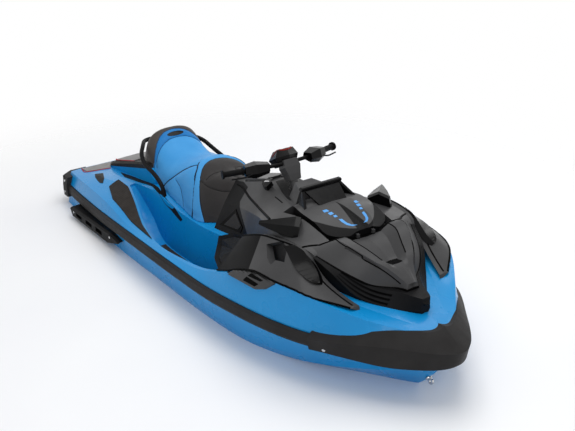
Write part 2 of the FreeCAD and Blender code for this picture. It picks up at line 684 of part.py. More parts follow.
# Hood lines, port side: the lower edge, the crest of the raised spear, its inner edge and the centre recess
HOOD_LOW = [(2640, 346, 884), (2752, 300, 846), (2868, 236, 800), (2948, 158, 757), (3004, 84, 747), (3078, 40, 750)]
HOOD_SPEAR = [(2700, 200, 926), (2780, 205, 936), (2862, 166, 905), (2930, 126, 872), (2972, 90, 848), (3072, 30, 777)]
HOOD_INNER = [(2702, 150, 926), (2782, 138, 926), (2862, 104, 896), (2926, 78, 866), (2966, 56, 848), (3074, 20, 780)]
HOOD_RECESS = [(2703, 96, 896), (2784, 84, 882), (2856, 60, 853), (2914, 42, 833), (2960, 34, 841), (3076, 10, 783)]
HOOD_CENTRE = [(2703, 0, 890), (2784, 0, 874), (2856, 0, 846), (2914, 0, 828), (2960, 0, 842), (3078, 0, 784)]
HOOD_SKIRT = 26.0          # depth of the hood's rim below its lower edge
JAW_LOW = [(2700, 344, 866), (2760, 326, 838), (2830, 300, 796), (2890, 262, 738), (2950, 216, 696), (3040, 140, 668),
           (3120, 74, 664), (3176, 30, 672)]
JAW_TOP = [(2700, 316, 866), (2760, 292, 846), (2830, 258, 818), (2890, 216, 788), (2950, 164, 756), (3040, 92, 746),
           (3120, 52, 744), (3176, 26, 742)]
JAW_BASE_HALF = (300.0, 284.0, 262.0, 236.0, 200.0, 132.0, 70.0, 26.0)
GRILLE_SLOTS = 3


def hood(body):
    """The hood: a lettering flank each side, a raised spear, and a recess down the middle to a flat nose."""
    rings = []
    for low, spear, inner, recess, centre in zip(HOOD_LOW, HOOD_SPEAR, HOOD_INNER, HOOD_RECESS, HOOD_CENTRE):
        skirt = (low[0], low[1] - 12, low[2] - HOOD_SKIRT)
        keel = (centre[0], 0, low[2] - HOOD_SKIRT)
        half = [V(*p) for p in (skirt, low, spear, inner, recess)]
        rings.append([V(*keel)] + half + [V(*centre)] + [V(p.x, -p.y, p.z) for p in reversed(half)])
    piece = skin(rings)
    for side in (1, -1):
        piece = piece.cut(spear_slot(side))
    piece = piece.cut(lid_space())
    for lug in lid_hinge_lugs():
        piece = piece.fuse(lug)
    for other in body:
        piece = piece.cut(other)
    return largest(piece)


def spear_slot(side):
    """The long narrow slot between the hood's flank and its raised spear."""
    points = [(2790, 212, 930), (2880, 168, 894), (2950, 122, 858), (3010, 74, 812)]
    rings = []
    for k, (s, y, h) in enumerate(points):
        wide = (7, 11, 9, 3)[k]
        rings.append([V(s, side * (y + wide), h + 22), V(s, side * (y - wide), h + 22),
                      V(s, side * (y - wide), h - 14), V(s, side * (y + wide), h - 14)])
    return skin(rings)


def hood_grille(body):
    """The dark jaw under the hood, open in three slots down each side, closing on the filler at the nose."""
    rings = []
    for (s, y_low, h_low), (_, y_top, h_top), base in zip(JAW_LOW, JAW_TOP, JAW_BASE_HALF):
        rings.append(ring_at(s, [(0, 640), (base, 640), (y_low - 8, h_low - 14), (y_low, h_low), (y_top, h_top),
                                 (0, h_top)]))
    piece = skin(rings)
    for k in range(GRILLE_SLOTS):
        for side in (1, -1):
            piece = piece.cut(grille_slot(k, side))
    for other in body:
        piece = piece.cut(other)
    return largest(piece)


def grille_slot(k, side):
    """One slot along the jaw's side face, between its low and top edges."""
    rings = []
    for (s, y_low, h_low), (_, y_top, h_top) in list(zip(JAW_LOW, JAW_TOP))[2:6]:
        step = (h_top - h_low) / (GRILLE_SLOTS + 0.6)
        h0 = h_low + step * (k + 0.35)
        h1 = h0 + step * 0.62
        y0 = y_low + (y_top - y_low) * (h0 - h_low) / (h_top - h_low)
        y1 = y_low + (y_top - y_low) * (h1 - h_low) / (h_top - h_low)
        rings.append([V(s, side * (y0 + 30), h0), V(s, side * (y1 + 30), h1), V(s, side * (y1 - 26), h1),
                      V(s, side * (y0 - 26), h0)])
    return skin(rings)


FILLER_R = 30.0


def filler_cap():
    """The round filler cap on the hood's nose, ribbed round its edge."""
    tilt = math.radians(40)
    axis = V(math.sin(tilt), 0, math.cos(tilt))
    base = V(3140, 0, 700)
    cap = Part.makeCylinder(FILLER_R, 40, base, axis)
    cap = cap.makeChamfer(3, [cap.Edges[0]])
    for k in range(12):
        notch = Part.makeCylinder(2.6, 22, base + axis * 20 + V(0, FILLER_R + 1, 0), axis)
        notch.rotate(base, axis, 30 * k)
        cap = cap.cut(notch)
    return cap


# Side panel, port side: lower outer edge and upper edge at matching stations
PANEL_LOW = [(2130, 560, 612), (2253, 562, 664), (2443, 554, 746), (2600, 545, 762), (2740, 515, 762), (2860, 468, 748),
             (2998, 326, 704)]
PANEL_TOP = [(2180, 420, 800), (2290, 424, 852), (2400, 416, 884), (2540, 396, 898), (2660, 372, 886), (2760, 368, 806),
             (2990, 308, 706)]
PANEL_DEPTH = 34.0
BLADE_RIBS = 9
BLADE_DEPTH = 24.0


def side_panel(body):
    """The grey shoulder panel from the knee pod to its point on the foredeck, with an air scoop, port side."""
    rings = []
    for (s0, yl, hl), (s1, yt, ht) in zip(PANEL_LOW, PANEL_TOP):
        low, top = V(s0, yl, hl), V(s1, yt, ht)
        rings.append([low - V(0, PANEL_DEPTH * 1.6, PANEL_DEPTH), low, top, top - V(0, PANEL_DEPTH, 6)])
    piece = skin(rings)
    piece = piece.cut(panel_scoop())
    for other in body:
        piece = piece.cut(other)
    return largest(piece)


def panel_scoop():
    """The dark hollow behind the curved blade at the panel's upper edge."""
    mouth = [V(2428, 470, 872), V(2510, 440, 920), V(2566, 440, 905), V(2640, 470, 790), V(2634, 490, 748),
             V(2560, 500, 800), V(2500, 500, 826)]
    floor = [p - V(0, 78, 34) for p in inset(mouth, 0.12, 0)]
    return skin_fan(mouth, floor)


def scoop_blade(body):
    """The curved blade across the scoop, with its cross ribs, port side."""
    outer = [(2548, 420, 890), (2612, 430, 861), (2690, 448, 836), (2768, 440, 808), (2812, 406, 785)]
    inner = [(2596, 384, 906), (2668, 378, 892), (2735, 370, 854), (2785, 374, 815), (2818, 390, 788)]
    rings = []
    for a, b in zip(outer, inner):
        p, q = V(*a), V(*b)
        rings.append([p, q, q - V(0, BLADE_DEPTH, BLADE_DEPTH), p - V(0, BLADE_DEPTH, BLADE_DEPTH)])
    blade = skin(rings)
    for k in range(BLADE_RIBS):
        t = (k + 1) / (BLADE_RIBS + 1) * (len(outer) - 1)
        i = min(int(t), len(outer) - 2)
        a = V(*outer[i]) + (V(*outer[i + 1]) - V(*outer[i])) * (t - i)
        b = V(*inner[i]) + (V(*inner[i + 1]) - V(*inner[i])) * (t - i)
        groove = tube_between(a + V(0, 3, 3), b + V(0, 3, 3), 3.2)
        blade = blade.cut(groove)
    return cut_all(blade, body)


def tube_between(a, b, radius):
    return Part.makeCylinder(radius, (b - a).Length, a, b - a)


def speaker_pod(body):
    """The faceted knee pod that closes the front of the footwell, with a framed sounding face, port side."""
    face = [V(1806, 352, 578), V(1796, 336, 618), V(1950, 338, 698), V(2352, 430, 866), V(2436, 488, 844),
            V(2440, 556, 744), V(2140, 556, 612), V(1985, 486, 602)]
    back = [p + V(70, -10, -46) for p in face]
    pod = skin_facets([back, face, inset(face, 0.14, -16), inset(face, 0.2, -10)])
    for other in body:
        pod = pod.cut(other)
    return largest(pod)


def side_vent():
    """The dark plate under the grey panel with its two square outlets, port side."""
    def edge(s, dh, dy=0.0):
        y, h = CREST.at(s)
        return V(s, y + dy, h + dh)
    outer = [edge(2250, 2, 9), edge(2400, 2, 9), edge(2640, -4, 9), edge(2540, -50, 16), edge(2400, -50, 16),
             edge(2330, -34, 14)]
    inner = [V(p.x, p.y - 30, p.z) for p in outer]
    plate = skin_fan(outer, inner)
    for s in (2400, 2452):
        h = CREST.h(s + 20)
        plate = plate.cut(box(s, s + 40, 500, 700, h - 38, h - 12))
    return plate


# Mirror pod, port side: a horn from its rim on the shoulder moulding to its tip
MIRROR_BASE = V(2486, 268, 920)
MIRROR_TIP = V(2338, 424, 940)
MIRROR_RIM = [(0, 66), (62, 40), (74, -20), (14, -60), (-58, -36), (-58, 34)]   # out and up, from the horn's axis
MIRROR_POINT = [(0, 12), (8, 6), (9, -6), (0, -12), (-8, -7), (-8, 6)]


def mirror_ring(centre, outline):
    axis = MIRROR_BASE - MIRROR_TIP
    axis.normalize()
    out = V(0, 0, 1).cross(axis) * -1.0
    out.normalize()
    if out.x < 0:
        out = out * -1.0
    up = axis.cross(out)
    if up.z < 0:
        up = up * -1.0
    return [centre + out * a + up * b for a, b in outline]


def mirror_housing():
    """The horn-shaped mirror pod, port side, widest where it meets the shoulder moulding."""
    rim = mirror_ring(MIRROR_BASE, MIRROR_RIM)
    lip = mirror_ring(MIRROR_BASE + (MIRROR_TIP - MIRROR_BASE) * 0.12, [(a * 1.04, b * 1.04) for a, b in MIRROR_RIM])
    waist = mirror_ring(MIRROR_BASE + (MIRROR_TIP - MIRROR_BASE) * 0.55, [(a * 0.66, b * 0.62) for a, b in MIRROR_RIM])
    return skin_facets([rim, lip, waist, mirror_ring(MIRROR_TIP, MIRROR_POINT)])


def mirror_glass(housing):
    """The glass on the pod's aft face, port side."""
    lip = mirror_ring(MIRROR_BASE + (MIRROR_TIP - MIRROR_BASE) * 0.12, [(a * 1.04, b * 1.04) for a, b in MIRROR_RIM])
    waist = mirror_ring(MIRROR_BASE + (MIRROR_TIP - MIRROR_BASE) * 0.55, [(a * 0.66, b * 0.62) for a, b in MIRROR_RIM])
    face = [lip[4], lip[5], waist[5], waist[4]]
    rim = inset(face, 0.16, 0)
    outward = (rim[2] - rim[0]).cross(rim[3] - rim[1])
    outward.normalize()
    if outward.x > 0:
        outward = outward * -1.0
    return largest(skin_fan([p + outward * 4 for p in rim], [p - outward * 8 for p in rim]).cut(housing))


def steering_neck():
    base = Part.makeCylinder(STEER_SHAFT_R, 166, steer_point(-120), steer_axis())
    def slab(along, half_f, half_y):
        pts = [steer_point(along, -half_f, -half_y), steer_point(along, half_f, -half_y),
               steer_point(along, half_f, half_y), steer_point(along, -half_f, half_y)]
        return Part.makePolygon(pts + pts[:1])
    neck = loft([slab(34, 26, 36), slab(70, 30, 42), slab(112, 32, 54), slab(156, 28, 44)], True)
    return largest(base.fuse(neck).cut(handlebar()))


BAR_TIP = V(1928, BAR_HALF_SPAN, 1060)


def bar_route():
    middle = steer_point(124, 6)
    knee = V(middle.x - 4, 112, middle.z + 14)
    tip = BAR_TIP
    return [V(tip.x, -tip.y, tip.z), V(knee.x, -knee.y, knee.z), knee, tip]


def handlebar():
    return tube_along(bar_route(), BAR_R)


def bar_unit(side):
    """The handlebar's outer run: a point on it by distance in from the tip, and its direction."""
    knee, tip = bar_route()[2:]
    out = tip - knee
    out.normalize()
    def at(d):
        p = tip - out * d
        return V(p.x, side * p.y, p.z)
    return at, V(out.x, side * out.y, out.z)


def grips():
    made = []
    for side in (1, -1):
        at, out = bar_unit(side)
        grip = Part.makeCylinder(GRIP_R, GRIP_LENGTH - 8, at(GRIP_LENGTH), out)
        cap = Part.makeCylinder(GRIP_R + 8, 10, at(9), out)
        rim = Part.makeCylinder(GRIP_R + 6, 8, at(GRIP_LENGTH), out)
        bore = Part.makeCylinder(BAR_R, GRIP_LENGTH + 1, at(GRIP_LENGTH + 1), out)
        made += grip.fuse([cap, rim]).cut(bore).Solids
    return Part.makeCompound(made)


def control_pods():
    made = []
    for side in (1, -1):
        at, out = bar_unit(side)
        start, end = at(GRIP_LENGTH + 146), at(GRIP_LENGTH + 6)
        def ring(c, f, a):
            up = V(0, 0, 1)
            fore = up.cross(out) if side < 0 else out.cross(up)
            fore = V(abs(fore.x), fore.y if fore.x > 0 else -fore.y, 0)
            pts = [c - fore * f - up * a * 0.6, c + fore * f * 0.6 - up * a, c + fore * f - up * a * 0.2,
                   c + fore * f * 0.7 + up * a, c - fore * f * 0.8 + up * a * 0.8]
            return Part.makePolygon(pts + pts[:1])
        pod = loft([ring(start, 34, 28), ring(start * 0.45 + end * 0.55, 50, 42), ring(end, 36, 32)], True)
        made += [largest(pod.cut(handlebar()))]
    return Part.makeCompound(made)


def levers():
    made = []
    for side in (1, -1):
        at, out = bar_unit(side)
        root = at(GRIP_LENGTH + 30) + V(44, 0, -6)
        middle = at(GRIP_LENGTH - 14) + V(56, 0, -14)
        end = at(26) + V(50, 0, -16)
        made += cut_all(tube_along([root, middle, end], 4.5), control_pods().Solids).Solids
    return Part.makeCompound(made)


def gauge_pod():
    def ring(along, half_f, half_y, shift):
        pts = [steer_point(along, shift - half_f, -half_y * 0.7), steer_point(along, shift + half_f * 0.6, -half_y),
               steer_point(along, shift + half_f, 0), steer_point(along, shift + half_f * 0.6, half_y),
               steer_point(along, shift - half_f, half_y * 0.7)]
        return Part.makePolygon(pts + pts[:1])
    pod = loft([ring(128, 54, 56, -38), ring(178, 72, 78, -38), ring(220, 46, 54, -22)], True)
    return cut_all(pod, (handlebar(), steering_neck()))


def column_shroud(body):
    """The fixed faceted cover between the steering column and the storage lid."""
    low = [V(2150, -96, 925), V(2148, 96, 925), V(2258, 130, 925), V(2258, -130, 925)]
    top = [V(2158, -56, 1016), V(2158, 56, 1016), V(2252, 94, 1008), V(2252, -94, 1008)]
    piece = skin_fan(low, top)
    for other in body:
        piece = piece.cut(other)
    return largest(piece)


def pump_housing():
    """Jet pump, venturi and the brackets that carry the nozzle and the bucket."""
    c = PUMP_AXIS_HEIGHT
    r = PUMP_BORE_R + PUMP_WALL
    outer = [V(TUNNEL_END, 0, c), V(TUNNEL_END, 0, c + r + 26), V(TUNNEL_END - 14, 0, c + r + 26),
             V(TUNNEL_END - 14, 0, c + r), V(470, 0, c + r), V(330, 0, c + 64), V(PUMP_END, 0, c + 56), V(PUMP_END, 0, c)]
    inner = [V(TUNNEL_END + 1, 0, c), V(TUNNEL_END + 1, 0, c + PUMP_BORE_R), V(474, 0, c + PUMP_BORE_R), V(334, 0, c + 55),
             V(PUMP_END - 1, 0, c + 47), V(PUMP_END - 1, 0, c)]
    body = spun(outer).cut(spun(inner))
    hub = spun([V(505, 0, c), V(505, 0, c + 28), V(430, 0, c + 26), V(350, 0, c + 6), V(350, 0, c)])
    for k in range(5):
        vane = box(440, 500, -3, 3, c + 20, c + PUMP_BORE_R + 3)
        vane.rotate(V(0, 0, c), V(1, 0, 0), 72 * k)
        hub = hub.fuse(vane)
    body = body.fuse(hub)
    for side in (1, -1):
        lug = box(NOZZLE_PIVOT_S - 16, 372, -16, 16, NOZZLE_LUG, NOZZLE_LUG + 10)
        lug = lug.fuse(box(350, 372, -16, 16, 63, NOZZLE_LUG + 10))
        lug = lug.fuse(Part.makeCylinder(PIN_R, 18, V(NOZZLE_PIVOT_S, 0, NOZZLE_LUG - 17), V(0, 0, 1)))
        if side < 0:
            lug = lug.mirror(V(0, 0, 0), V(0, 0, 1))
        lug.translate(V(0, 0, c))
        body = body.fuse(lug)
        boss_end = BUCKET_ARM_Y - BUCKET_PLATE - RUNNING_GAP
        boss = Part.makeCylinder(13, boss_end - 54, V(BUCKET_PIVOT_S, side * 54, c), V(0, side, 0))
        pin = Part.makeCylinder(PIN_R, BUCKET_ARM_Y - 52, V(BUCKET_PIVOT_S, side * 60, c), V(0, side, 0))
        body = body.fuse(boss).fuse(pin)
    return largest(body)


def spun(points):
    """A solid turned about the pump's axis."""
    face = Part.Face(Part.makePolygon(points + points[:1]))
    solid = face.revolve(V(0, 0, PUMP_AXIS_HEIGHT), V(1, 0, 0), 360).Solids[0]
    if solid.Volume < 0:
        solid.reverse()
    return solid


def impeller():
    c = PUMP_AXIS_HEIGHT
    shaft_end = ENGINE_S[0] - RUNNING_GAP
    body = spun([V(512, 0, c), V(512, 0, c + 28), V(590, 0, c + 28), V(640, 0, c + SHAFT_R),
                 V(shaft_end, 0, c + SHAFT_R), V(shaft_end, 0, c)])
    sweep = Part.makeCylinder(IMPELLER_R, 90, V(508, 0, c), V(1, 0, 0))
    for k in range(3):
        blade = box(516, 588, -3, 3, c + 10, c + IMPELLER_R + 10)
        blade.rotate(V(552, 0, c), V(0, 0, 1), 38)
        blade.rotate(V(0, 0, c), V(1, 0, 0), 120 * k)
        body = body.fuse(blade.common(sweep))
    return largest(body)


def shaft_bearing():
    """The ring in the hull's bore that carries the pump shaft."""
    start, length = 1110.0, 30.0
    ring = Part.makeCylinder(SHAFT_R + RUNNING_GAP, length, V(start, 0, PUMP_AXIS_HEIGHT), V(1, 0, 0))
    return ring.cut(Part.makeCylinder(SHAFT_R + 0.1, length, V(start, 0, PUMP_AXIS_HEIGHT), V(1, 0, 0)))


def steering_nozzle():
    c = PUMP_AXIS_HEIGHT
    front = NOZZLE_PIVOT_S + 20
    outer = spun([V(front, 0, c), V(front, 0, c + 88), V(NOZZLE_PIVOT_S - 24, 0, c + 86), V(NOZZLE_OUTLET_S, 0, c + 52),
                  V(NOZZLE_OUTLET_S, 0, c)])
    inner = spun([V(front + 1, 0, c), V(front + 1, 0, c + 81), V(NOZZLE_PIVOT_S - 26, 0, c + 79),
                  V(NOZZLE_OUTLET_S - 1, 0, c + 45), V(NOZZLE_OUTLET_S - 1, 0, c)])
    body = outer
    for side in (1, -1):
        boss = Part.makeCylinder(15, NOZZLE_LUG - RUNNING_GAP - 70, V(NOZZLE_PIVOT_S, 0, c + side * 70), V(0, 0, side))
        body = body.fuse(boss)
    body = body.cut(inner)
    return largest(body.cut(Part.makeCylinder(PIN_HOLE_R, 300, V(NOZZLE_PIVOT_S, 0, c - 150), V(0, 0, 1))))


def reverse_bucket():
    """The curved gate that drops behind the nozzle, drawn raised, on two side arms."""
    c = PUMP_AXIS_HEIGHT
    def at(angle, radius):
        a = math.radians(angle)
        return V(BUCKET_PIVOT_S - radius * math.cos(a), 0, c + radius * math.sin(a))
    low, high = 27.0, 84.0
    middle = (low + high) / 2
    r_out, r_in = BUCKET_R + 8, BUCKET_R
    wire = Part.Wire([Part.Arc(at(low, r_out), at(middle, r_out), at(high, r_out)).toShape(),
                      Part.LineSegment(at(high, r_out), at(high, r_in)).toShape(),
                      Part.Arc(at(high, r_in), at(middle, r_in), at(low, r_in)).toShape(),
                      Part.LineSegment(at(low, r_in), at(low, r_out)).toShape()])
    shell = Part.Face(wire).extrude(V(0, 2 * BUCKET_ARM_Y, 0))
    shell.translate(V(0, -BUCKET_ARM_Y, 0))
    body = shell
    for side in (1, -1):
        arm = Part.Wire([Part.LineSegment(at(low - 60, 22), at(low, r_out)).toShape(),
                         Part.Arc(at(low, r_out), at(middle, r_out), at(high, r_out)).toShape(),
                         Part.LineSegment(at(high, r_out), at(high + 60, 22)).toShape(),
                         Part.Arc(at(high + 60, 22), at(middle + 180, 22), at(low - 60, 22)).toShape()])
        plate = Part.Face(arm).extrude(V(0, BUCKET_PLATE, 0))
        plate.translate(V(0, BUCKET_ARM_Y - BUCKET_PLATE if side > 0 else -BUCKET_ARM_Y, 0))
        body = body.fuse(plate)
    return largest(body.cut(Part.makeCylinder(PIN_HOLE_R, 400, V(BUCKET_PIVOT_S, -200, c), V(0, 1, 0))))


def ride_plate():
    return box(96, TUNNEL_END, -TUNNEL_HALF_WIDTH, TUNNEL_HALF_WIDTH, 42, 54)


def intake_grate(body):
    """The barred guard over the intake in the bottom of the hull."""
    half = INTAKE_HALF_WIDTH
    rise = CHINE.h(1000) / CHINE.y(1000) * half
    s0, s1 = INTAKE_S
    pts = [V(s0, -half, rise), V(s0, 0, 0), V(s0, half, rise), V(s0, half, rise + 9), V(s0, 0, 9), V(s0, -half, rise + 9)]
    plate = polygon_prism(pts, V(s1 - s0, 0, 0))
    for k in range(6):
        y = -half + 10 + 29.5 * k
        plate = plate.cut(box(s0 + 30, s1 - 30, y, y + 20, -20, 120))
    return largest(plate.cut(body))


def stern_recess():
    """The hollow under the stern deck that the raised bucket swings in."""
    return box(0, 350, -BUCKET_ARM_Y - 22, BUCKET_ARM_Y + 22, TUNNEL_TOP - 70, 424)


def eye(base, normal):
    """A forged eye on a round foot, its hole running across the boat."""
    foot = Part.makeCylinder(18, 7, base, normal)
    centre = base + normal * EYE_REACH
    across = V(0, EYE_THICKNESS, 0)
    ring = Part.makeCylinder(EYE_HOLE_R + 8, EYE_THICKNESS, centre - across * 0.5, V(0, 1, 0))
    side = normal.cross(V(0, 1, 0)) * (EYE_HOLE_R + 6)
    neck = polygon_prism([base + side - across * 0.5, centre + side - across * 0.5, centre - side - across * 0.5,
                          base - side - across * 0.5], across)
    hole = Part.makeCylinder(EYE_HOLE_R, 60, centre - V(0, 30, 0), V(0, 1, 0))
    return foot.fuse(ring).fuse(neck).cut(hole)


def bow_eye_place():
    """Where the bow eye stands on the stem, and the direction it points."""
    rise = KEEL.h(BOW_EYE_S + 5) - KEEL.h(BOW_EYE_S - 5)
    normal = V(rise, 0, -10.0)
    normal.normalize()
    return V(BOW_EYE_S, 0, KEEL.h(BOW_EYE_S)) - normal * 3, normal


def bow_eye(body):
    return largest(eye(*bow_eye_place()).cut(body[0]))


def stern_eyes(body):
    made = []
    for y in (STERN_EYE[1], -STERN_EYE[1]):
        made.append(largest(eye(V(STERN_EYE[0], y, STERN_EYE[2]), V(-1, 0, 0)).cut(body[0])))
    return Part.makeCompound(made)


def deck_sheet(outline, cutter, thickness):
    """A sheet laid on the deck inside a plan outline of (s, y) points."""
    prism = polygon_prism([V(s, y, 0) for s, y in outline], V(0, 0, 900))
    layer = cutter.copy()
    layer.translate(V(0, 0, thickness))
    return prism.common(layer).cut(cutter)


def solids_of(shape, smallest=400.0):
    return Part.makeCompound([s for s in shape.Solids if s.Volume > smallest])


REAR_MAT = [(88, -398), (88, 398), (187, 404), (236, 246), (158, 206), (158, -206), (236, -246), (187, -404)]


STEP_MAT = [(186, -172), (186, 172), (256, 206), (548, 214), (548, -214), (256, -206)]


def rear_mat(body, base):
    """The mat on the stern deck, and the one on the step that slopes up to the seat."""
    lower = deck_sheet(REAR_MAT, body[1], MAT_THICKNESS).cut(base)
    upper = deck_sheet(STEP_MAT, base, MAT_THICKNESS).cut(body[1])
    return solids_of(Part.makeCompound(lower.Solids + upper.Solids), 40000.0)


def footwell_mat(body):
    """The traction mat on the footwell floor, port side."""
    outline = []
    for s in (1170, 1450, 1750, 2010):
        outline.append((s, FLOOR_INNER.y(s) + 14))
    for s in (2010, 1750, 1450, 1170):
        outline.append((s, FLOOR_OUTER.y(s) - 16))
    prism = polygon_prism([V(s, y, FOOTWELL_FLOOR - 20) for s, y in outline], V(0, 0, 60))
    layer = body[1].copy()
    layer.translate(V(0, 0, MAT_THICKNESS))
    return largest(prism.common(layer).cut(body[1]))


def wedge_pad(body):
    """The wedge-shaped traction pad on the gunwale top beside the footwell's aft end, port side."""
    outline = [(558, 346), (594, 436), (768, 500), (1100, 540), (1385, 556), (1200, 516), (1000, 450), (720, 360)]
    return largest(deck_sheet(outline, body[1], PAD_THICKNESS))


def build():
    h = hull()
    d = deck()
    recess = stern_recess()
    h, d = largest(h.cut(recess).cut(d)), largest(d.cut(recess))
    shell = (h, d)
    nodes = {"hull": h, "deck": d, "engine": engine()}
    nodes["side_rails"] = both(side_rail(shell))
    nodes["bow_bumper"] = bow_bumper(shell)
    nodes["stern_bumpers"] = both(cut_all(stern_bumper(), shell))
    nodes["sponsons"] = both(sponson(shell))
    seat = seat_whole().cut(d)
    nodes["seat_front"] = largest(seat.cut(passenger_side(FIT)))
    nodes["seat_rear"] = largest(seat.common(passenger_side(0)))
    nodes["seat_base"] = seat_base((d, nodes["seat_rear"], nodes["seat_front"]))
    nodes["grab_rail"] = grab_rail((d, nodes["seat_rear"], nodes["seat_base"]))
    nodes["hood"] = hood((d,))
    nodes["cowl"] = cowl((d, nodes["hood"]))
    nodes["bin_liner"] = bin_liner()
    nodes["storage_lid"] = storage_lid()
    nodes["wind_deflector"] = wind_deflector(nodes["storage_lid"])
    nodes["hood_grille"] = hood_grille((d, nodes["hood"], nodes["cowl"]))
    nodes["filler_cap"] = cut_all(filler_cap(), (nodes["hood_grille"], nodes["hood"], d))
    front = (d, nodes["cowl"], nodes["hood"], nodes["hood_grille"])
    nodes["side_panels"] = both(side_panel(front))
    nodes["scoop_blades"] = both(scoop_blade(front + (nodes["side_panels"],)))
    nodes["speaker_pods"] = both(speaker_pod((d, nodes["cowl"], nodes["side_panels"])))
    nodes["side_vents"] = both(largest(side_vent().cut(d).cut(nodes["side_panels"])))
    fixed = (nodes["cowl"], nodes["hood"], nodes["side_panels"])
    housing = cut_all(mirror_housing(), fixed)
    nodes["mirror_housings"] = both(housing)
    nodes["mirror_glass"] = both(cut_all(mirror_glass(housing), fixed))
    nodes["steering_neck"] = steering_neck()
    nodes["handlebar"] = handlebar()
    nodes["grips"] = grips()
    nodes["control_pods"] = control_pods()
    nodes["levers"] = levers()
    nodes["gauge_pod"] = gauge_pod()
    nodes["column_shroud"] = column_shroud((nodes["cowl"], nodes["storage_lid"]))
    nodes["glovebox_lid"] = glovebox_lid()
    nodes["pump_housing"] = pump_housing()
    nodes["impeller"] = impeller()
    nodes["shaft_bearing"] = shaft_bearing()
    nodes["steering_nozzle"] = steering_nozzle()
    nodes["reverse_bucket"] = reverse_bucket()
    nodes["ride_plate"] = ride_plate()
    nodes["intake_grate"] = intake_grate(h)
    nodes["bow_eye"] = bow_eye(shell)
    nodes["stern_eyes"] = stern_eyes(shell)
    nodes["rear_mat"] = rear_mat(shell, nodes["seat_base"])
    nodes["footwell_mats"] = both(footwell_mat(shell))
    nodes["wedge_pads"] = both(wedge_pad(shell))
    return nodes


def cut_all(shape, others):
    for other in others:
        shape = shape.cut(other)
    return largest(shape)


def main():
    os.makedirs("parts", exist_ok=True)
    for name, shape in build().items():
        print("%-16s %d solids, %.4f m3, valid %s" % (name, len(shape.Solids), shape.Volume / 1e9, shape.isValid()))
        row(shape).exportStep("parts/%s.step" % name)


main()
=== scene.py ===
import math

import bmesh
import bpy
import numpy as np
from mathutils import Matrix, Vector
from mathutils.bvhtree import BVHTree


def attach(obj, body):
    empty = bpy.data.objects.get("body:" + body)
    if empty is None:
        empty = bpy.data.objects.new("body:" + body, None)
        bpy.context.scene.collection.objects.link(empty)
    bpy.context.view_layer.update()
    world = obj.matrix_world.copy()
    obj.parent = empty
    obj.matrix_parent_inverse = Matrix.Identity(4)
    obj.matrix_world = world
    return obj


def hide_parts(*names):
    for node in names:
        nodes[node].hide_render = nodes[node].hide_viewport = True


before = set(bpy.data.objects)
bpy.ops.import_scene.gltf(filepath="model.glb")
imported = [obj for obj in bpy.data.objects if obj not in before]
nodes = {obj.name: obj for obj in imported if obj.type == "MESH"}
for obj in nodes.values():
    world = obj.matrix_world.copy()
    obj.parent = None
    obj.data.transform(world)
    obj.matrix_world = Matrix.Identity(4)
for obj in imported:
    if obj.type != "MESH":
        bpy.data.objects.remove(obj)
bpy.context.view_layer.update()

# Row frame: metres, +X forward from amidships, +Y to port, +Z up from the waterline
HALF_LENGTH = 1.725
DRAFT = 0.235

# Camera, solved from the photograph
IMAGE_WIDTH = 575
FOCAL_PIXELS = 995.12
SENSOR_WIDTH = 36.0
CAMERA_PLACE = (6.2065 - HALF_LENGTH, -3.0943, 3.1860 - DRAFT)
CAMERA_AZIMUTH = math.radians(36.424)
CAMERA_ELEVATION = math.radians(25.117)
CAMERA_ROLL = math.radians(0.67)
CAMERA_REACH = 100


def at(s, y, h):
    """A point given by its distance from the stern, to port, and above the keel."""
    return Vector((s - HALF_LENGTH, y, h - DRAFT))


def srgb(r, g, b):
    """A linear colour from 0 to 255 screen values."""
    def linear(c):
        c = c / 255
        return c / 12.92 if c <= 0.04045 else ((c + 0.055) / 1.055) ** 2.4
    return (linear(r), linear(g), linear(b), 1.0)


# Camera


def make_camera():
    """The photograph's viewpoint."""
    ahead = -Vector((
        math.cos(CAMERA_AZIMUTH) * math.cos(CAMERA_ELEVATION),
        -math.sin(CAMERA_AZIMUTH) * math.cos(CAMERA_ELEVATION),
        math.sin(CAMERA_ELEVATION),
    ))
    level = ahead.cross(Vector((0, 0, 1))).normalized()
    upright = level.cross(ahead)
    right = level * math.cos(CAMERA_ROLL) + upright * math.sin(CAMERA_ROLL)
    up = -level * math.sin(CAMERA_ROLL) + upright * math.cos(CAMERA_ROLL)
    turn = Matrix((right, up, -ahead)).transposed().to_4x4()
    data = bpy.data.cameras.new("camera")
    data.sensor_width = SENSOR_WIDTH
    data.lens = FOCAL_PIXELS / IMAGE_WIDTH * SENSOR_WIDTH
    data.clip_end = CAMERA_REACH
    camera = bpy.data.objects.new("camera", data)
    camera.matrix_world = Matrix.Translation(CAMERA_PLACE) @ turn
    bpy.context.scene.collection.objects.link(camera)
    bpy.context.scene.camera = camera


# Materials

# Where most values of a noise texture lie
NOISE_RANGE = (0.3, 0.7)


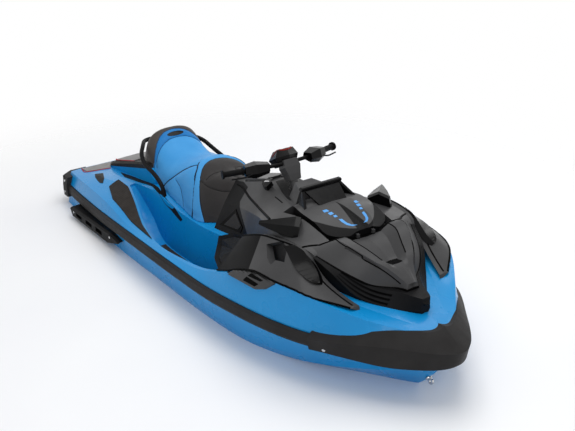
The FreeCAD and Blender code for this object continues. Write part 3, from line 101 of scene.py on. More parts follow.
class Shader:
    """A material's node tree with short helpers."""

    def __init__(self, name):
        self.material = bpy.data.materials.new(name)
        self.material.use_nodes = True
        self.tree = self.material.node_tree
        self.principled = self.tree.nodes["Principled BSDF"]
        self.coords = self.node("ShaderNodeTexCoord").outputs["Object"]

    def node(self, kind, **values):
        made = self.tree.nodes.new(kind)
        for name, value in values.items():
            setattr(made, name, value)
        return made

    def link(self, source, target):
        self.tree.links.new(source, target)

    def noise(self, scale, detail=3.0, stretch=None):
        """Noise in the object's own metres. stretch scales the axes."""
        texture = self.node("ShaderNodeTexNoise")
        texture.inputs["Scale"].default_value = scale
        texture.inputs["Detail"].default_value = detail
        source = self.coords
        if stretch:
            mapping = self.node("ShaderNodeMapping")
            mapping.inputs["Scale"].default_value = stretch
            self.link(source, mapping.inputs["Vector"])
            source = mapping.outputs["Vector"]
        self.link(source, texture.inputs["Vector"])
        return texture.outputs["Fac"]

    def voronoi(self, scale):
        """Distances from scattered points, as cells of grain."""
        texture = self.node("ShaderNodeTexVoronoi")
        texture.inputs["Scale"].default_value = scale
        self.link(self.coords, texture.inputs["Vector"])
        return texture.outputs["Distance"]

    def ribs(self, scale):
        """Ridges that run fore and aft, side by side across the craft."""
        wave = self.node("ShaderNodeTexWave", wave_type="BANDS", bands_direction="Y")
        wave.inputs["Scale"].default_value = scale
        self.link(self.coords, wave.inputs["Vector"])
        return wave.outputs["Fac"]

    def mapped(self, source, start, end, low=0.0, high=1.0, **kind):
        """Maps start to end onto low to high, and holds it beyond them."""
        made = self.node("ShaderNodeMapRange", **kind)
        ranges = {"From Min": start, "From Max": end, "To Min": low, "To Max": high}
        for name, value in ranges.items():
            made.inputs[name].default_value = value
        self.link(source, made.inputs["Value"])
        return made.outputs["Result"]

    def spread(self, source, low, high):
        """Maps the middle of a noise's range onto low to high."""
        return self.mapped(source, *NOISE_RANGE, low, high)

    def blend(self, source, low, high):
        """A colour between two, by a noise."""
        return self.between(self.spread(source, 0, 1), low, high)

    def relief(self, *layers):
        """Bumps from layers of a source, a strength and a distance in metres."""
        below = None
        for source, strength, depth in layers:
            bump = self.node("ShaderNodeBump")
            bump.inputs["Strength"].default_value = strength
            bump.inputs["Distance"].default_value = depth
            self.link(source, bump.inputs["Height"])
            if below:
                self.link(below, bump.inputs["Normal"])
            below = bump.outputs["Normal"]
        self.link(below, self.principled.inputs["Normal"])

    def math(self, operation, *values):
        """Arithmetic on sockets or numbers."""
        made = self.node("ShaderNodeMath", operation=operation)
        for socket, value in zip(made.inputs, values):
            if isinstance(value, (int, float)):
                socket.default_value = value
            else:
                self.link(value, socket)
        return made.outputs[0]

    def plus(self, a, b):
        return self.math("ADD", a, b)

    def minus(self, a, b):
        return self.math("SUBTRACT", a, b)

    def times(self, a, b):
        return self.math("MULTIPLY", a, b)

    def place(self):
        """The distance from the stern, to port and above the keel."""
        split = self.node("ShaderNodeSeparateXYZ")
        self.link(self.coords, split.inputs[0])
        x, y, z = split.outputs
        return self.plus(x, HALF_LENGTH), y, self.plus(z, DRAFT)

    def edge(self, value, width=0.0012):
        """0 below zero and 1 above it, eased over a small width."""
        return self.mapped(value, -width, width)

    def between(self, factor, low, high):
        """A colour or value from low where the factor is 0 to high where it is 1."""
        mixed = self.node("ShaderNodeMix", data_type="RGBA")
        self.link(factor, mixed.inputs["Factor"])
        for name, value in (("A", low), ("B", high)):
            if isinstance(value, tuple):
                mixed.inputs[name].default_value = value
            else:
                self.link(value, mixed.inputs[name])
        return mixed.outputs["Result"]

    def colour(self, source):
        self.link(source, self.principled.inputs["Base Color"])

    def rough(self, source):
        self.link(source, self.principled.inputs["Roughness"])

    def constants(self, **values):
        for name, value in values.items():
            self.principled.inputs[name.replace("_", " ")].default_value = value


def gelcoat(name, low, high):
    """Polished pigmented gelcoat: clear depth and a slight cloudiness of colour."""
    shader = Shader(name)
    shader.colour(shader.blend(shader.noise(1.7), low, high))
    shader.rough(shader.spread(shader.noise(6.0), 0.24, 0.32))
    shader.constants(Coat_Weight=0.15, Coat_Roughness=0.05, Specular_IOR_Level=0.2)
    return shader.material


def satin_panel(name, low, high, zone=None):
    """Painted moulded panels with a satin sheen, black where zone's factor is 1."""
    shader = Shader(name)
    colour = shader.blend(shader.noise(5.0, 5.0), low, high)
    if zone:
        black = zone(shader)
        colour = shader.between(black, colour, srgb(13, 13, 14))
        shine = shader.between(black, (0.12, 0.12, 0.12, 1), (0.03, 0.03, 0.03, 1))
        shader.link(shine, shader.principled.inputs["Specular IOR Level"])
    shader.colour(colour)
    shader.rough(shader.spread(shader.noise(16.0), 0.30, 0.40))
    shader.relief((shader.noise(260, 2.0), 0.06, 0.001))
    shader.constants(Coat_Weight=0.04, Coat_Roughness=0.15, Specular_IOR_Level=0.12)
    return shader.material


def moulded(name, low, high, gloss, grain=900, depth=0.25, zone=None, other=None):
    """Moulded plastic or rubber with a fine grain, in the other colour where zone is 1."""
    shader = Shader(name)
    colour = shader.blend(shader.noise(9.0, 5.0), low, high)
    if zone:
        colour = shader.between(zone(shader), colour, other)
    shader.colour(colour)
    shader.rough(shader.spread(shader.noise(30.0), *gloss))
    shader.relief((shader.voronoi(grain), depth, 0.0006), (shader.noise(45), 0.06, 0.002))
    shader.constants(Specular_IOR_Level=0.06)
    return shader.material


def gloss_black(name, low=(5, 5, 6), high=(9, 9, 10), shine=0.12):
    """Polished black plastic."""
    shader = Shader(name)
    shader.colour(shader.blend(shader.noise(7.0), srgb(*low), srgb(*high)))
    shader.rough(shader.spread(shader.noise(24.0), 0.18, 0.26))
    shader.relief((shader.noise(120, 1.0), 0.04, 0.001))
    shader.constants(Specular_IOR_Level=shine)
    return shader.material


def speaker(name):
    """A perforated sounding face, with painted shade in its holes."""
    shader = Shader(name)
    holes = shader.voronoi(230)
    # The holes are painted darker, as the shade inside them.
    solid = shader.edge(shader.minus(holes, 0.35), 0.08)
    shader.colour(shader.between(solid, srgb(4, 4, 4), srgb(20, 20, 21)))
    shader.rough(shader.spread(shader.noise(30.0), 0.5, 0.6))
    shader.relief((holes, 0.5, 0.002))
    shader.constants(Specular_IOR_Level=0.06)
    return shader.material


def ribbed(name, low, high):
    """Rubber with fine ribs round a grip."""
    shader = Shader(name)
    shader.colour(shader.blend(shader.noise(9.0), low, high))
    shader.rough(shader.spread(shader.noise(30.0), 0.5, 0.6))
    shader.relief((shader.ribs(55), 0.8, 0.002))
    shader.constants(Specular_IOR_Level=0.07)
    return shader.material


def vinyl(name, tones, lines=()):
    """Marine vinyl with a pebbled grain. tones run from the bow aft, and each of
    lines gives a value above zero ahead of the joint between two of them."""
    shader = Shader(name)
    grain = shader.noise(8.0, 4.0)
    colour = shader.blend(grain, *tones[0])
    for line, tone in zip(lines, tones[1:]):
        colour = shader.between(shader.edge(line(shader)), shader.blend(grain, *tone), colour)
    shader.colour(colour)
    shader.rough(shader.spread(shader.noise(40.0), 0.42, 0.54))
    shader.relief((shader.voronoi(420), 0.3, 0.0008), (shader.noise(26), 0.1, 0.004))
    shader.constants(Sheen_Weight=0.05, Sheen_Roughness=0.4, Specular_IOR_Level=0.12)
    return shader.material


def metal(name, low, high, gloss, grain=300, stretch=None):
    """Bare metal. stretch draws its grain out into brushing."""
    shader = Shader(name)
    shader.colour(shader.blend(shader.noise(12.0, 5.0), low, high))
    shader.rough(shader.spread(shader.noise(60.0), *gloss))
    shader.relief((shader.noise(grain, 2.0, stretch), 0.2, 0.0006))
    shader.constants(Metallic=1.0)
    return shader.material


def foam_mat(name, low, high):
    """Foam decking with fine grooves along the craft."""
    shader = Shader(name)
    shader.colour(shader.blend(shader.noise(20.0, 5.0), low, high))
    shader.rough(shader.spread(shader.noise(50.0), 0.7, 0.85))
    shader.relief((shader.ribs(26), 0.5, 0.002), (shader.voronoi(700), 0.25, 0.0006))
    shader.constants(Specular_IOR_Level=0.08)
    return shader.material


def mirror(name):
    """Silvered glass."""
    shader = Shader(name)
    shader.colour(shader.blend(shader.noise(9.0), srgb(214, 219, 224), srgb(228, 232, 236)))
    shader.rough(shader.spread(shader.noise(30.0), 0.02, 0.05))
    shader.constants(Metallic=1.0)
    return shader.material


# Where two finishes meet on one moulding, and where the lid's painted shade lies. Starts and fronts
# are metres from the stern and the other places metres above the keel; a bow grows with the square
# of y.

SADDLE_START, SADDLE_BOW = 1.235, 3.35
SADDLE_SHOULDER, SADDLE_DRIFT = 0.70, 3.0
BAND_START, BAND_BOW = 0.768, 1.2
SHELL_START, SHELL_BOW = 0.700, 2.4
CONSOLE_SHOULDER, CONSOLE_SLOPE, CONSOLE_FRONT, CONSOLE_TOP = 0.784, 2.0, 1.770, 0.862
# The lid's painted shade: faces steeper than LID_STEEP, a wedge from LID_WEDGE, widening by
# LID_TAPER, for the shaded side of its ridge, and its front edge.
LID_STEEP, LID_WEDGE, LID_TAPER = 0.45, 2.44, 0.17
LID_BOW, LID_FRONT = 4.1, 2.682
POD_SWEEP, POD_FRONT = 0.57, 2.112
BASE_START, BASE_RISE, BASE_HEIGHT, BASE_SIDE = 0.322, 0.305, 0.534, 0.15


def bowed(shader, y, bow):
    """bow times the square of a distance."""
    return shader.times(shader.times(y, y), bow)


def below(shader, h, level):
    """How far a place lies below a level, and 0 above it."""
    return shader.math("MAXIMUM", shader.minus(level, h), 0.0)


def ahead_of(shader, start, bow):
    """Above zero ahead of a line across the craft that bows forward to the sides."""
    s, y, _ = shader.place()
    return shader.minus(s, shader.plus(bowed(shader, y, bow), start))


def saddle_line(shader):
    """Above zero on the rider's seat ahead of its blue band."""
    s, y, h = shader.place()
    drop = below(shader, h, SADDLE_SHOULDER)
    drift = bowed(shader, drop, SADDLE_DRIFT)
    line = shader.plus(shader.plus(bowed(shader, y, SADDLE_BOW), drift), SADDLE_START)
    return shader.minus(s, line)


def band_line(shader):
    """Above zero on the passenger's seat ahead of its darker back."""
    return ahead_of(shader, BAND_START, BAND_BOW)


def shell_line(shader):
    """Above zero on the passenger's seat ahead of its dark rear shell."""
    return ahead_of(shader, SHELL_START, SHELL_BOW)


def saddle_side(shader):
    """1 on the console's lower rear part, which is black like the seat."""
    s, _, h = shader.place()
    slope = shader.times(below(shader, h, CONSOLE_SHOULDER), CONSOLE_SLOPE)
    front = shader.minus(shader.plus(slope, CONSOLE_FRONT), s)
    return shader.edge(shader.math("MINIMUM", front, shader.minus(CONSOLE_TOP, h)))


def lid_painted_shade(shader):
    """1 on the lid's painted shade: its steep undercut sides, a wedge for its ridge's shaded side,
    and a front edge that is partly a black plate and partly painted shadow.
    """
    turned = shader.node("ShaderNodeSeparateXYZ")
    normal = shader.node("ShaderNodeTexCoord").outputs["Normal"]
    shader.link(normal, turned.inputs[0])
    steep = shader.edge(shader.minus(LID_STEEP, turned.outputs["Z"]), 0.02)
    s, y, _ = shader.place()
    taper = shader.times(shader.minus(s, LID_WEDGE), LID_TAPER)
    wedge = shader.edge(shader.minus(taper, shader.math("ABSOLUTE", y)))
    bow = bowed(shader, y, LID_BOW)
    front = shader.edge(shader.minus(shader.plus(s, bow), LID_FRONT))
    return shader.math("MAXIMUM", steep, shader.math("MAXIMUM", wedge, front))


def pod_end(shader):
    """1 on the aft end of a side panel, which is as dark as the speaker pod under it."""
    s, y, _ = shader.place()
    sweep = shader.times(shader.math("ABSOLUTE", y), POD_SWEEP)
    return shader.edge(shader.minus(shader.plus(sweep, POD_FRONT), s))


def pedestal_side(shader):
    """1 on the lower part of the seat's base, which is the deck's blue."""
    s, y, h = shader.place()
    rise = shader.times(shader.minus(s, BASE_START), BASE_RISE)
    under = shader.minus(shader.plus(rise, BASE_HEIGHT), h)
    outside = shader.minus(shader.math("ABSOLUTE", y), BASE_SIDE)
    return shader.edge(shader.math("MINIMUM", under, outside))


BLUE_SEAT = (srgb(60, 142, 204), srgb(70, 152, 213))
BACK_SEAT = (srgb(30, 112, 178), srgb(38, 120, 186))
BLACK_SEAT = (srgb(40, 38, 38), srgb(48, 46, 46))
SHELL_SEAT = (srgb(62, 58, 56), srgb(70, 66, 64))
BLUE = (srgb(8, 130, 196), srgb(14, 138, 203))
PANEL_GREY = (srgb(58, 58, 59), srgb(67, 67, 68))
MATERIALS = {
    "blue": gelcoat("blue_gelcoat", *BLUE),
    "engine": moulded("engine_block", srgb(70, 71, 73), srgb(86, 87, 89), (0.5, 0.6)),
    "rubber": moulded("black_rubber", srgb(40, 39, 39), srgb(47, 46, 46), (0.46, 0.56)),
    "grip": ribbed("grip_rubber", srgb(13, 13, 14), srgb(18, 18, 19)),
    "plastic": moulded("black_plastic", srgb(17, 17, 18), srgb(23, 23, 24), (0.38, 0.48)),
    "base": moulded("base_plastic", srgb(22, 21, 21), srgb(28, 27, 27), (0.38, 0.48),
                    zone=pedestal_side, other=BLUE[0]),
    "speaker": speaker("speaker_face"),
    "grey": satin_panel("grey_plastic", *PANEL_GREY),
    "panel": satin_panel("panel_plastic", *PANEL_GREY, pod_end),
    "console": satin_panel("console_plastic", *PANEL_GREY, saddle_side),
    # The lid's black zone is painted shade, and part of its front edge is a black plate.
    "lid": satin_panel("lid_plastic_and_painted_shade", *PANEL_GREY, lid_painted_shade),
    "gloss": gloss_black("gloss_black"),
    # Near-black with little shine: real black edging and inlays, and the painted shadow laid in
    # gaps, grooves and creases.
    "trim_and_gap_shade": gloss_black("black_edging_and_gap_shade", (2, 2, 2), (4, 4, 4), 0.02),
    "rider_vinyl": vinyl("rider_vinyl", (BLACK_SEAT, BLUE_SEAT), [saddle_line]),
    "passenger_vinyl": vinyl("passenger_vinyl", (BLUE_SEAT, BACK_SEAT, SHELL_SEAT),
                             [band_line, shell_line]),
    "piping": vinyl("piping", [(srgb(12, 22, 44), srgb(18, 28, 52))]),
    "seam": vinyl("seam", [(srgb(24, 62, 104), srgb(30, 70, 114))]),
    "dark_seam": vinyl("dark_seam", [(srgb(15, 14, 14), srgb(20, 19, 19))]),
    "red": moulded("red_edging", srgb(158, 52, 60), srgb(172, 60, 68), (0.4, 0.5)),
    "stripe": moulded("gauge_stripe", srgb(112, 34, 30), srgb(126, 42, 36), (0.3, 0.4),
                      400, 0.05),
    "light_blue": moulded("light_blue_stripe", srgb(84, 150, 216), srgb(96, 162, 226), (0.3, 0.4),
                          400, 0.05),
    "mirror": mirror("mirror_glass"),
    "cast": metal("cast_aluminium", srgb(150, 152, 154), srgb(172, 174, 176), (0.38, 0.5)),
    "steel": metal("stainless", srgb(190, 190, 192), srgb(206, 206, 208), (0.2, 0.3),
                   500, (1, 14, 14)),
    "black_metal": moulded("black_metal", srgb(12, 12, 13), srgb(17, 17, 18), (0.3, 0.38),
                           1200, 0.1),
    "mat": foam_mat("grey_mat", srgb(132, 131, 131), srgb(148, 147, 147)),
    "black_mat": foam_mat("black_mat", srgb(44, 41, 39), srgb(52, 49, 47)),
}

FINISHES = {
    "blue": ["hull", "deck"],
    "engine": ["engine"],
    "rubber": ["side_rails", "bow_bumper", "stern_bumpers"],
    "grip": ["grips"],
    "plastic": ["sponsons", "grab_rail", "bin_liner", "hood_grille", "filler_cap", "side_vents"],
    "base": ["seat_base"],
    "speaker": ["speaker_pods"],
    "grey": ["hood", "column_shroud", "steering_neck", "glovebox_lid"],
    "panel": ["side_panels"],
    "console": ["cowl"],
    "lid": ["storage_lid"],
    "gloss": ["mirror_housings", "control_pods", "gauge_pod", "wind_deflector", "scoop_blades"],
    "rider_vinyl": ["seat_front"],
    "passenger_vinyl": ["seat_rear"],
    "mirror": ["mirror_glass"],
    "cast": ["pump_housing", "ride_plate", "intake_grate", "steering_nozzle", "reverse_bucket"],
    "steel": ["shaft_bearing", "bow_eye", "stern_eyes", "impeller"],
    "black_metal": ["handlebar", "levers"],
    "mat": ["rear_mat"],
    "black_mat": ["footwell_mats", "wedge_pads"],
}


def dress(piece, material):
    """Gives a piece one of MATERIALS."""
    piece.data.materials.clear()
    piece.data.materials.append(MATERIALS[material])


for finish, members in FINISHES.items():
    for member in members:
        dress(nodes[member], finish)


# Surfaces to lay cords and plates on, and the pieces laid on them, some of them painted shade, in
# metres

SEAM_STEP = 0.006
PLATE_CELL = 0.012
# Plates are found on a surface by rays that start this far above them and reach this far
RAY_START, RAY_REACH = 0.08, 0.2
# How far a plate's back lies under the surface
PLATE_SINK = 0.002
# Keeps a plate's cuts off its own corners
CUT_SHIFT = 1e-5


def surface(*pieces):
    """One search tree over pieces, in the row frame."""
    points, faces = [], []
    for piece in pieces:
        base = len(points)
        points += [piece.matrix_world @ v.co for v in piece.data.vertices]
        faces += [[base + i for i in p.vertices] for p in piece.data.polygons]
    return BVHTree.FromPolygons(points, faces)


def shade(mesh, smooth):
    """Shades every face of a mesh smooth or flat."""
    for face in mesh.polygons:
        face.use_smooth = smooth


def add_piece(name, mesh, finish, body, smooth=True):
    """A new piece that rides on a body."""
    piece = bpy.data.objects.new(name, mesh)
    bpy.context.scene.collection.objects.link(piece)
    dress(piece, finish)
    shade(mesh, smooth)
    bpy.context.view_layer.update()
    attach(piece, body)


def along(points, step):
    """Points at even steps along a smooth line through points."""
    ends = [points[0] * 2 - points[1]] + list(points) + [points[-1] * 2 - points[-2]]
    fine = []
    for a, b, c, d in zip(ends, ends[1:], ends[2:], ends[3:]):
        count = max(2, int((c - b).length / step))
        for k in range(count):
            t = k / count
            fine.append(0.5 * (2 * b + (c - a) * t + (2 * a - 5 * b + 4 * c - d) * t * t
                               + (3 * b - a - 3 * c + d) * t ** 3))
    return fine + [points[-1]]


def turns(count):
    """Cosine and sine at even turns round a circle."""
    angles = [k * math.pi / (count / 2) for k in range(count)]
    return [(math.cos(a), math.sin(a)) for a in angles]


def tube_mesh(name, lines, radius, sides=8):
    """Round tubes along lines of points, with closed ends."""
    bm = bmesh.new()
    for line in lines:
        rings = []
        for i, p in enumerate(line):
            way = (line[min(i + 1, len(line) - 1)] - line[max(i - 1, 0)]).normalized()
            level = Vector((0, 0, 1)) if abs(way.z) < 0.9 else Vector((1, 0, 0))
            across = way.cross(level).normalized()
            up = across.cross(way)
            rings.append([bm.verts.new(p + (across * cos + up * sin) * radius)
                          for cos, sin in turns(sides)])
        for a, b in zip(rings, rings[1:]):
            for k in range(sides):
                bm.faces.new((a[k], a[(k + 1) % sides], b[(k + 1) % sides], b[k]))
        bm.faces.new(rings[0][::-1])
        bm.faces.new(rings[-1])
    bmesh.ops.recalc_face_normals(bm, faces=bm.faces)
    mesh = bpy.data.meshes.new(name)
    bm.to_mesh(mesh)
    bm.free()
    return mesh


def flip(points):
    """The same points on the other side of the craft."""
    return [Vector((p.x, -p.y, p.z)) for p in points]


def snapped(points, tree, lift):
    """Points moved onto the nearest surface, then lifted off it."""
    out = []
    for p in points:
        place, normal, _, _ = tree.find_nearest(p)
        out.append(place + normal * lift)
    return out


def seam(name, lines, tree, radius, finish, lift=0.0, sides=(1, -1), body="boat"):
    """Thin cords laid along a surface, or sunk into it, given to port, on both sides; in near-black
    they are painted shadow in gaps, grooves and creases.
    """
    laid = []
    for line in lines:
        fine = along([at(*p) for p in line], SEAM_STEP)
        for side in sides:
            laid.append(snapped(fine if side > 0 else flip(fine), tree, lift))
    add_piece(name, tube_mesh(name, laid, radius), finish, body)


def plate(outline, side, tree, thickness, aim, cell):
    """One thin plate laid on a surface inside an outline, seen along aim, as a bmesh."""
    way = Vector((aim[0], aim[1] * side, aim[2])).normalized()
    across = Vector((1, 0, 0)) - way * way.x
    across.normalize()
    other = way.cross(across)
    centre = sum((at(*p) for p in outline), Vector()) / len(outline)
    centre.y *= side
    flat = bmesh.new()
    corners = []
    for p in outline:
        place = at(*p)
        place.y *= side
        off = place - centre
        corner = centre + across * off.dot(across) + other * off.dot(other)
        corners.append(flat.verts.new(corner))
    flat.faces.new(corners)
    for axis in (across, other):
        spans = [(v.co - centre).dot(axis) for v in flat.verts]
        cut = math.ceil(min(spans) / cell) * cell
        while cut < max(spans):
            geometry = flat.verts[:] + flat.edges[:] + flat.faces[:]
            bmesh.ops.bisect_plane(flat, geom=geometry, plane_co=centre + axis * (cut + CUT_SHIFT),
                                   plane_no=axis)
            cut += cell
    bmesh.ops.triangulate(flat, faces=flat.faces)
    for v in flat.verts:
        place = tree.ray_cast(v.co + way * RAY_START, -way, RAY_REACH)[0]
        if place is None:
            place = tree.find_nearest(v.co)[0]
        v.co = place + way * thickness
    made = bmesh.ops.extrude_face_region(flat, geom=flat.faces[:])
    for item in made["geom"]:
        if isinstance(item, bmesh.types.BMVert):
            item.co -= way * (thickness + PLATE_SINK)
    bmesh.ops.recalc_face_normals(flat, faces=flat.faces)
    return flat


def patches(name, outlines, tree, thickness, finish, aim=(0, 0, 1), sides=(1, -1),
            body="boat", cell=PLATE_CELL):
    """Thin plates laid on a surface inside outlines given to port, seen along aim."""
    bm = bmesh.new()
    for outline in outlines:
        for side in sides:
            flat = plate(outline, side, tree, thickness, aim, cell)
            mesh = bpy.data.meshes.new("flat")
            flat.to_mesh(mesh)
            flat.free()
            bm.from_mesh(mesh)
            bpy.data.meshes.remove(mesh)
    mesh = bpy.data.meshes.new(name)
    bm.to_mesh(mesh)
    bm.free()
    add_piece(name, mesh, finish, body, smooth=False)


# Seats, as padded vinyl over foam

# How far the padding swells, how far from a joint it has done so, how deep a joint draws
# it in and how wide, in metres
SWELL, SWELL_REACH = 0.005, 0.035
TUCK, TUCK_REACH = 0.0045, 0.006
# The padding starts at this height above the keel and is full this much higher
SEAT_FOOT, FOOT_EASE = 0.575, 0.03
JOINT_STEP = 0.005
COVER_ROUNDING, COVER_PASSES = 0.5, 14
# How many points of the joints are measured in one go, to save memory
JOINT_BATCH = 40
# Farther than any point of a seat is from a joint
FAR = 9.0

# Joints in the covers, port side: (s, y, h)
JOINT_V = [(1.113, 0, 0.80), (1.155, 0.042, 0.815), (1.200, 0.088, 0.825),
           (1.238, 0.125, 0.826), (1.290, 0.180, 0.784), (1.325, 0.214, 0.708),
           (1.357, 0.241, 0.622), (1.385, 0.259, 0.563)]
SADDLE_EDGE = [(1.235, 0, 0.842), (1.249, 0.060, 0.840), (1.286, 0.123, 0.823),
               (1.337, 0.175, 0.780), (1.380, 0.208, 0.716), (1.433, 0.231, 0.632),
               (1.492, 0.243, 0.560)]
SADDLE_FOLD = [(1.350, 0.180, 0.772), (1.426, 0.173, 0.757), (1.510, 0.148, 0.755),
               (1.567, 0.122, 0.764), (1.598, 0.110, 0.775)]
SADDLE_PAD = [(1.379, 0.158, 0.783), (1.375, 0.124, 0.803), (1.379, 0.079, 0.815),
              (1.392, 0.050, 0.818), (1.450, 0.042, 0.820), (1.530, 0.040, 0.832),
              (1.598, 0.040, 0.846)]
HUMP_FOOT = [(0.965, 0.228, 0.609), (0.991, 0.217, 0.647), (1.073, 0.189, 0.721),
             (1.173, 0.158, 0.796), (1.230, 0.122, 0.822)]
HUMP_BAND = [(0.768, 0, 0.845), (0.771, 0.050, 0.843), (0.776, 0.081, 0.834), (0.786, 0.124, 0.813),
             (0.798, 0.158, 0.779), (0.810, 0.186, 0.734), (0.834, 0.205, 0.690)]
SHELL_EDGE = [(0.700, 0, 0.880), (0.709, 0.062, 0.874), (0.727, 0.107, 0.857),
              (0.748, 0.141, 0.830), (0.764, 0.163, 0.796), (0.777, 0.179, 0.759),
              (0.790, 0.196, 0.710)]
SIDE_FOLD = [(1.086, 0.206, 0.692), (1.162, 0.219, 0.670), (1.204, 0.231, 0.621),
             (1.240, 0.245, 0.570)]


def soft_seat(name, node, joints, finish, cell, tail=None):
    """A padded cover grown from the plain seat: rounded, filled out between its joints
    and drawn in at them. tail gives a place from the stern and a share: behind that
    place the cover keeps that share of its length."""
    piece = bpy.data.objects.new(name, nodes[node].data.copy())
    bpy.context.scene.collection.objects.link(piece)
    remesh = piece.modifiers.new("remesh", "REMESH")
    remesh.mode = "VOXEL"
    remesh.voxel_size = cell
    smooth = piece.modifiers.new("smooth", "SMOOTH")
    smooth.factor = COVER_ROUNDING
    smooth.iterations = COVER_PASSES
    bpy.context.view_layer.update()
    rounded = piece.evaluated_get(bpy.context.evaluated_depsgraph_get())
    mesh = bpy.data.meshes.new_from_object(rounded)
    piece.modifiers.clear()
    piece.data = mesh
    count = len(mesh.vertices)
    places = np.empty(count * 3)
    mesh.vertices.foreach_get("co", places)
    places = places.reshape(-1, 3)
    normals = np.empty(count * 3)
    mesh.vertex_normals.foreach_get("vector", normals)
    normals = normals.reshape(-1, 3)
    plain = surface(nodes[node])
    lines = []
    for joint in joints:
        fine = along([at(*p) for p in joint], JOINT_STEP)
        lines += snapped(fine, plain, 0) + snapped(flip(fine), plain, 0)
    lines = np.array([list(p) for p in lines])
    nearest = np.full(count, FAR)
    for first in range(0, len(lines), JOINT_BATCH):
        away = places[:, None, :] - lines[None, first:first + JOINT_BATCH, :]
        nearest = np.minimum(nearest, np.linalg.norm(away, axis=2).min(axis=1))
    swell = SWELL * (1 - np.exp(-(nearest / SWELL_REACH) ** 2))
    fill = swell - TUCK * np.exp(-(nearest / TUCK_REACH) ** 2)
    fill *= np.clip((places[:, 2] + DRAFT - SEAT_FOOT) / FOOT_EASE, 0, 1)
    places += normals * fill[:, None]
    if tail:
        start, share = tail[0] - HALF_LENGTH, tail[1]
        aft = places[:, 0] < start
        places[aft, 0] = start + (places[aft, 0] - start) * share
    mesh.vertices.foreach_set("co", places.ravel())
    mesh.update()
    dress(piece, finish)
    shade(mesh, True)
    bpy.context.view_layer.update()
    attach(piece, "boat")
    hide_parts(node)
    return piece


SADDLE_JOINTS = [SADDLE_EDGE, SADDLE_FOLD, SADDLE_PAD]
COVER_JOINTS = [HUMP_BAND, SHELL_EDGE, SIDE_FOLD]
rider_seat = soft_seat("rider_seat", "seat_front", SADDLE_JOINTS,
                       "rider_vinyl", 0.0045)
passenger_seat = soft_seat("passenger_seat", "seat_rear", [HUMP_FOOT] + COVER_JOINTS,
                           "passenger_vinyl", 0.0052, (SHELL_START, 0.6))
rider_skin = surface(rider_seat)
passenger_skin = surface(passenger_seat)
seam("seat_joint_piping", [JOINT_V], passenger_skin, 0.005, "piping", 0.0015)
seam("saddle_stitching", SADDLE_JOINTS, rider_skin, 0.0018, "dark_seam", 0.0002)
seam("hump_stitching", [HUMP_FOOT], passenger_skin, 0.0042, "piping", -0.0004)
seam("cover_stitching", COVER_JOINTS, passenger_skin, 0.0018, "seam", 0.0002)

# Trim on the mouldings, with painted shadow in gaps, grooves and creases, painted shade in the
# vents' slots and a painted highlight on the knob

LID_SLASHES = [
    [(2.479, 0.116, 0.981), (2.485, 0.092, 0.984), (2.506, 0.090, 0.981), (2.500, 0.118, 0.978)],
    [(2.514, 0.107, 0.978), (2.516, 0.083, 0.980), (2.535, 0.082, 0.976), (2.535, 0.106, 0.973)],
    [(2.545, 0.096, 0.972), (2.547, 0.079, 0.973), (2.561, 0.076, 0.969), (2.561, 0.097, 0.967)],
    [(2.580, 0.086, 0.963), (2.586, 0.068, 0.962), (2.620, 0.062, 0.952), (2.641, 0.049, 0.946),
     (2.657, 0.021, 0.943), (2.654, 0.050, 0.943), (2.634, 0.073, 0.946), (2.603, 0.084, 0.956)],
]
lid_top = surface(nodes["storage_lid"])
patches("lid_slashes", LID_SLASHES, lid_top, 0.0006, "light_blue", body="storage_lid")
console = surface(nodes["cowl"])
CONSOLE_GROOVE = [(1.640, 0.098, 0.835), (1.700, 0.108, 0.842), (1.760, 0.124, 0.839),
                  (1.845, 0.152, 0.836), (1.950, 0.184, 0.843), (2.084, 0.229, 0.858),
                  (2.241, 0.286, 0.884)]
CONSOLE_DASH = [(2.082, 0.137, 0.920), (2.128, 0.145, 0.922), (2.174, 0.154, 0.923)]
# A near-black cord sunk along the console's groove is painted shadow in the groove.
seam("console_groove_shadow", [CONSOLE_GROOVE], console, 0.008, "trim_and_gap_shade", -0.002)
seam("console_dashes", [CONSOLE_DASH], console, 0.0035, "trim_and_gap_shade", -0.0012)
COLUMN_WELL = [(1.955, 0, 0.945), (1.955, 0.044, 0.947), (2.082, 0.092, 0.939),
               (2.150, 0.110, 0.935), (2.190, 0.114, 0.933), (2.190, 0, 0.935)]
patches("column_wells", [COLUMN_WELL], console, 0.0015, "plastic")
KNOB = [(1.925, 0.098, 0.930), (1.932, 0.072, 0.938), (1.958, 0.066, 0.940), (1.988, 0.080, 0.942),
        (1.998, 0.104, 0.938), (1.990, 0.124, 0.925), (1.962, 0.126, 0.925), (1.936, 0.118, 0.925)]
# A steel bar across the knob is a painted highlight: it stands for the glint on the knob.
KNOB_HIGHLIGHT = [(1.944, 0.104, 0.930), (1.948, 0.096, 0.935), (1.980, 0.088, 0.940),
            (1.984, 0.095, 0.940)]
KNOB_AIM, STARBOARD = (0, 0.5, 1), (-1,)
patches("console_knob", [KNOB], console, 0.030, "gloss", KNOB_AIM, STARBOARD)
patches("knob_highlight", [KNOB_HIGHLIGHT], console, 0.0315, "steel", KNOB_AIM, STARBOARD)
KNEE_PAD = [(1.769, 0.194, 0.742), (1.649, 0.233, 0.607), (1.894, 0.247, 0.652),
            (1.904, 0.239, 0.689)]
KNEE_INSET = [(1.783, 0.199, 0.725), (1.700, 0.229, 0.625), (1.862, 0.241, 0.660),
              (1.886, 0.234, 0.690)]
KNEE_AIM = (0, 1, 0.25)
patches("knee_pads", [KNEE_PAD], console, 0.004, "trim_and_gap_shade", KNEE_AIM)
patches("knee_insets", [KNEE_INSET], console, 0.0065, "rubber", KNEE_AIM)
deck_top = surface(nodes["deck"])
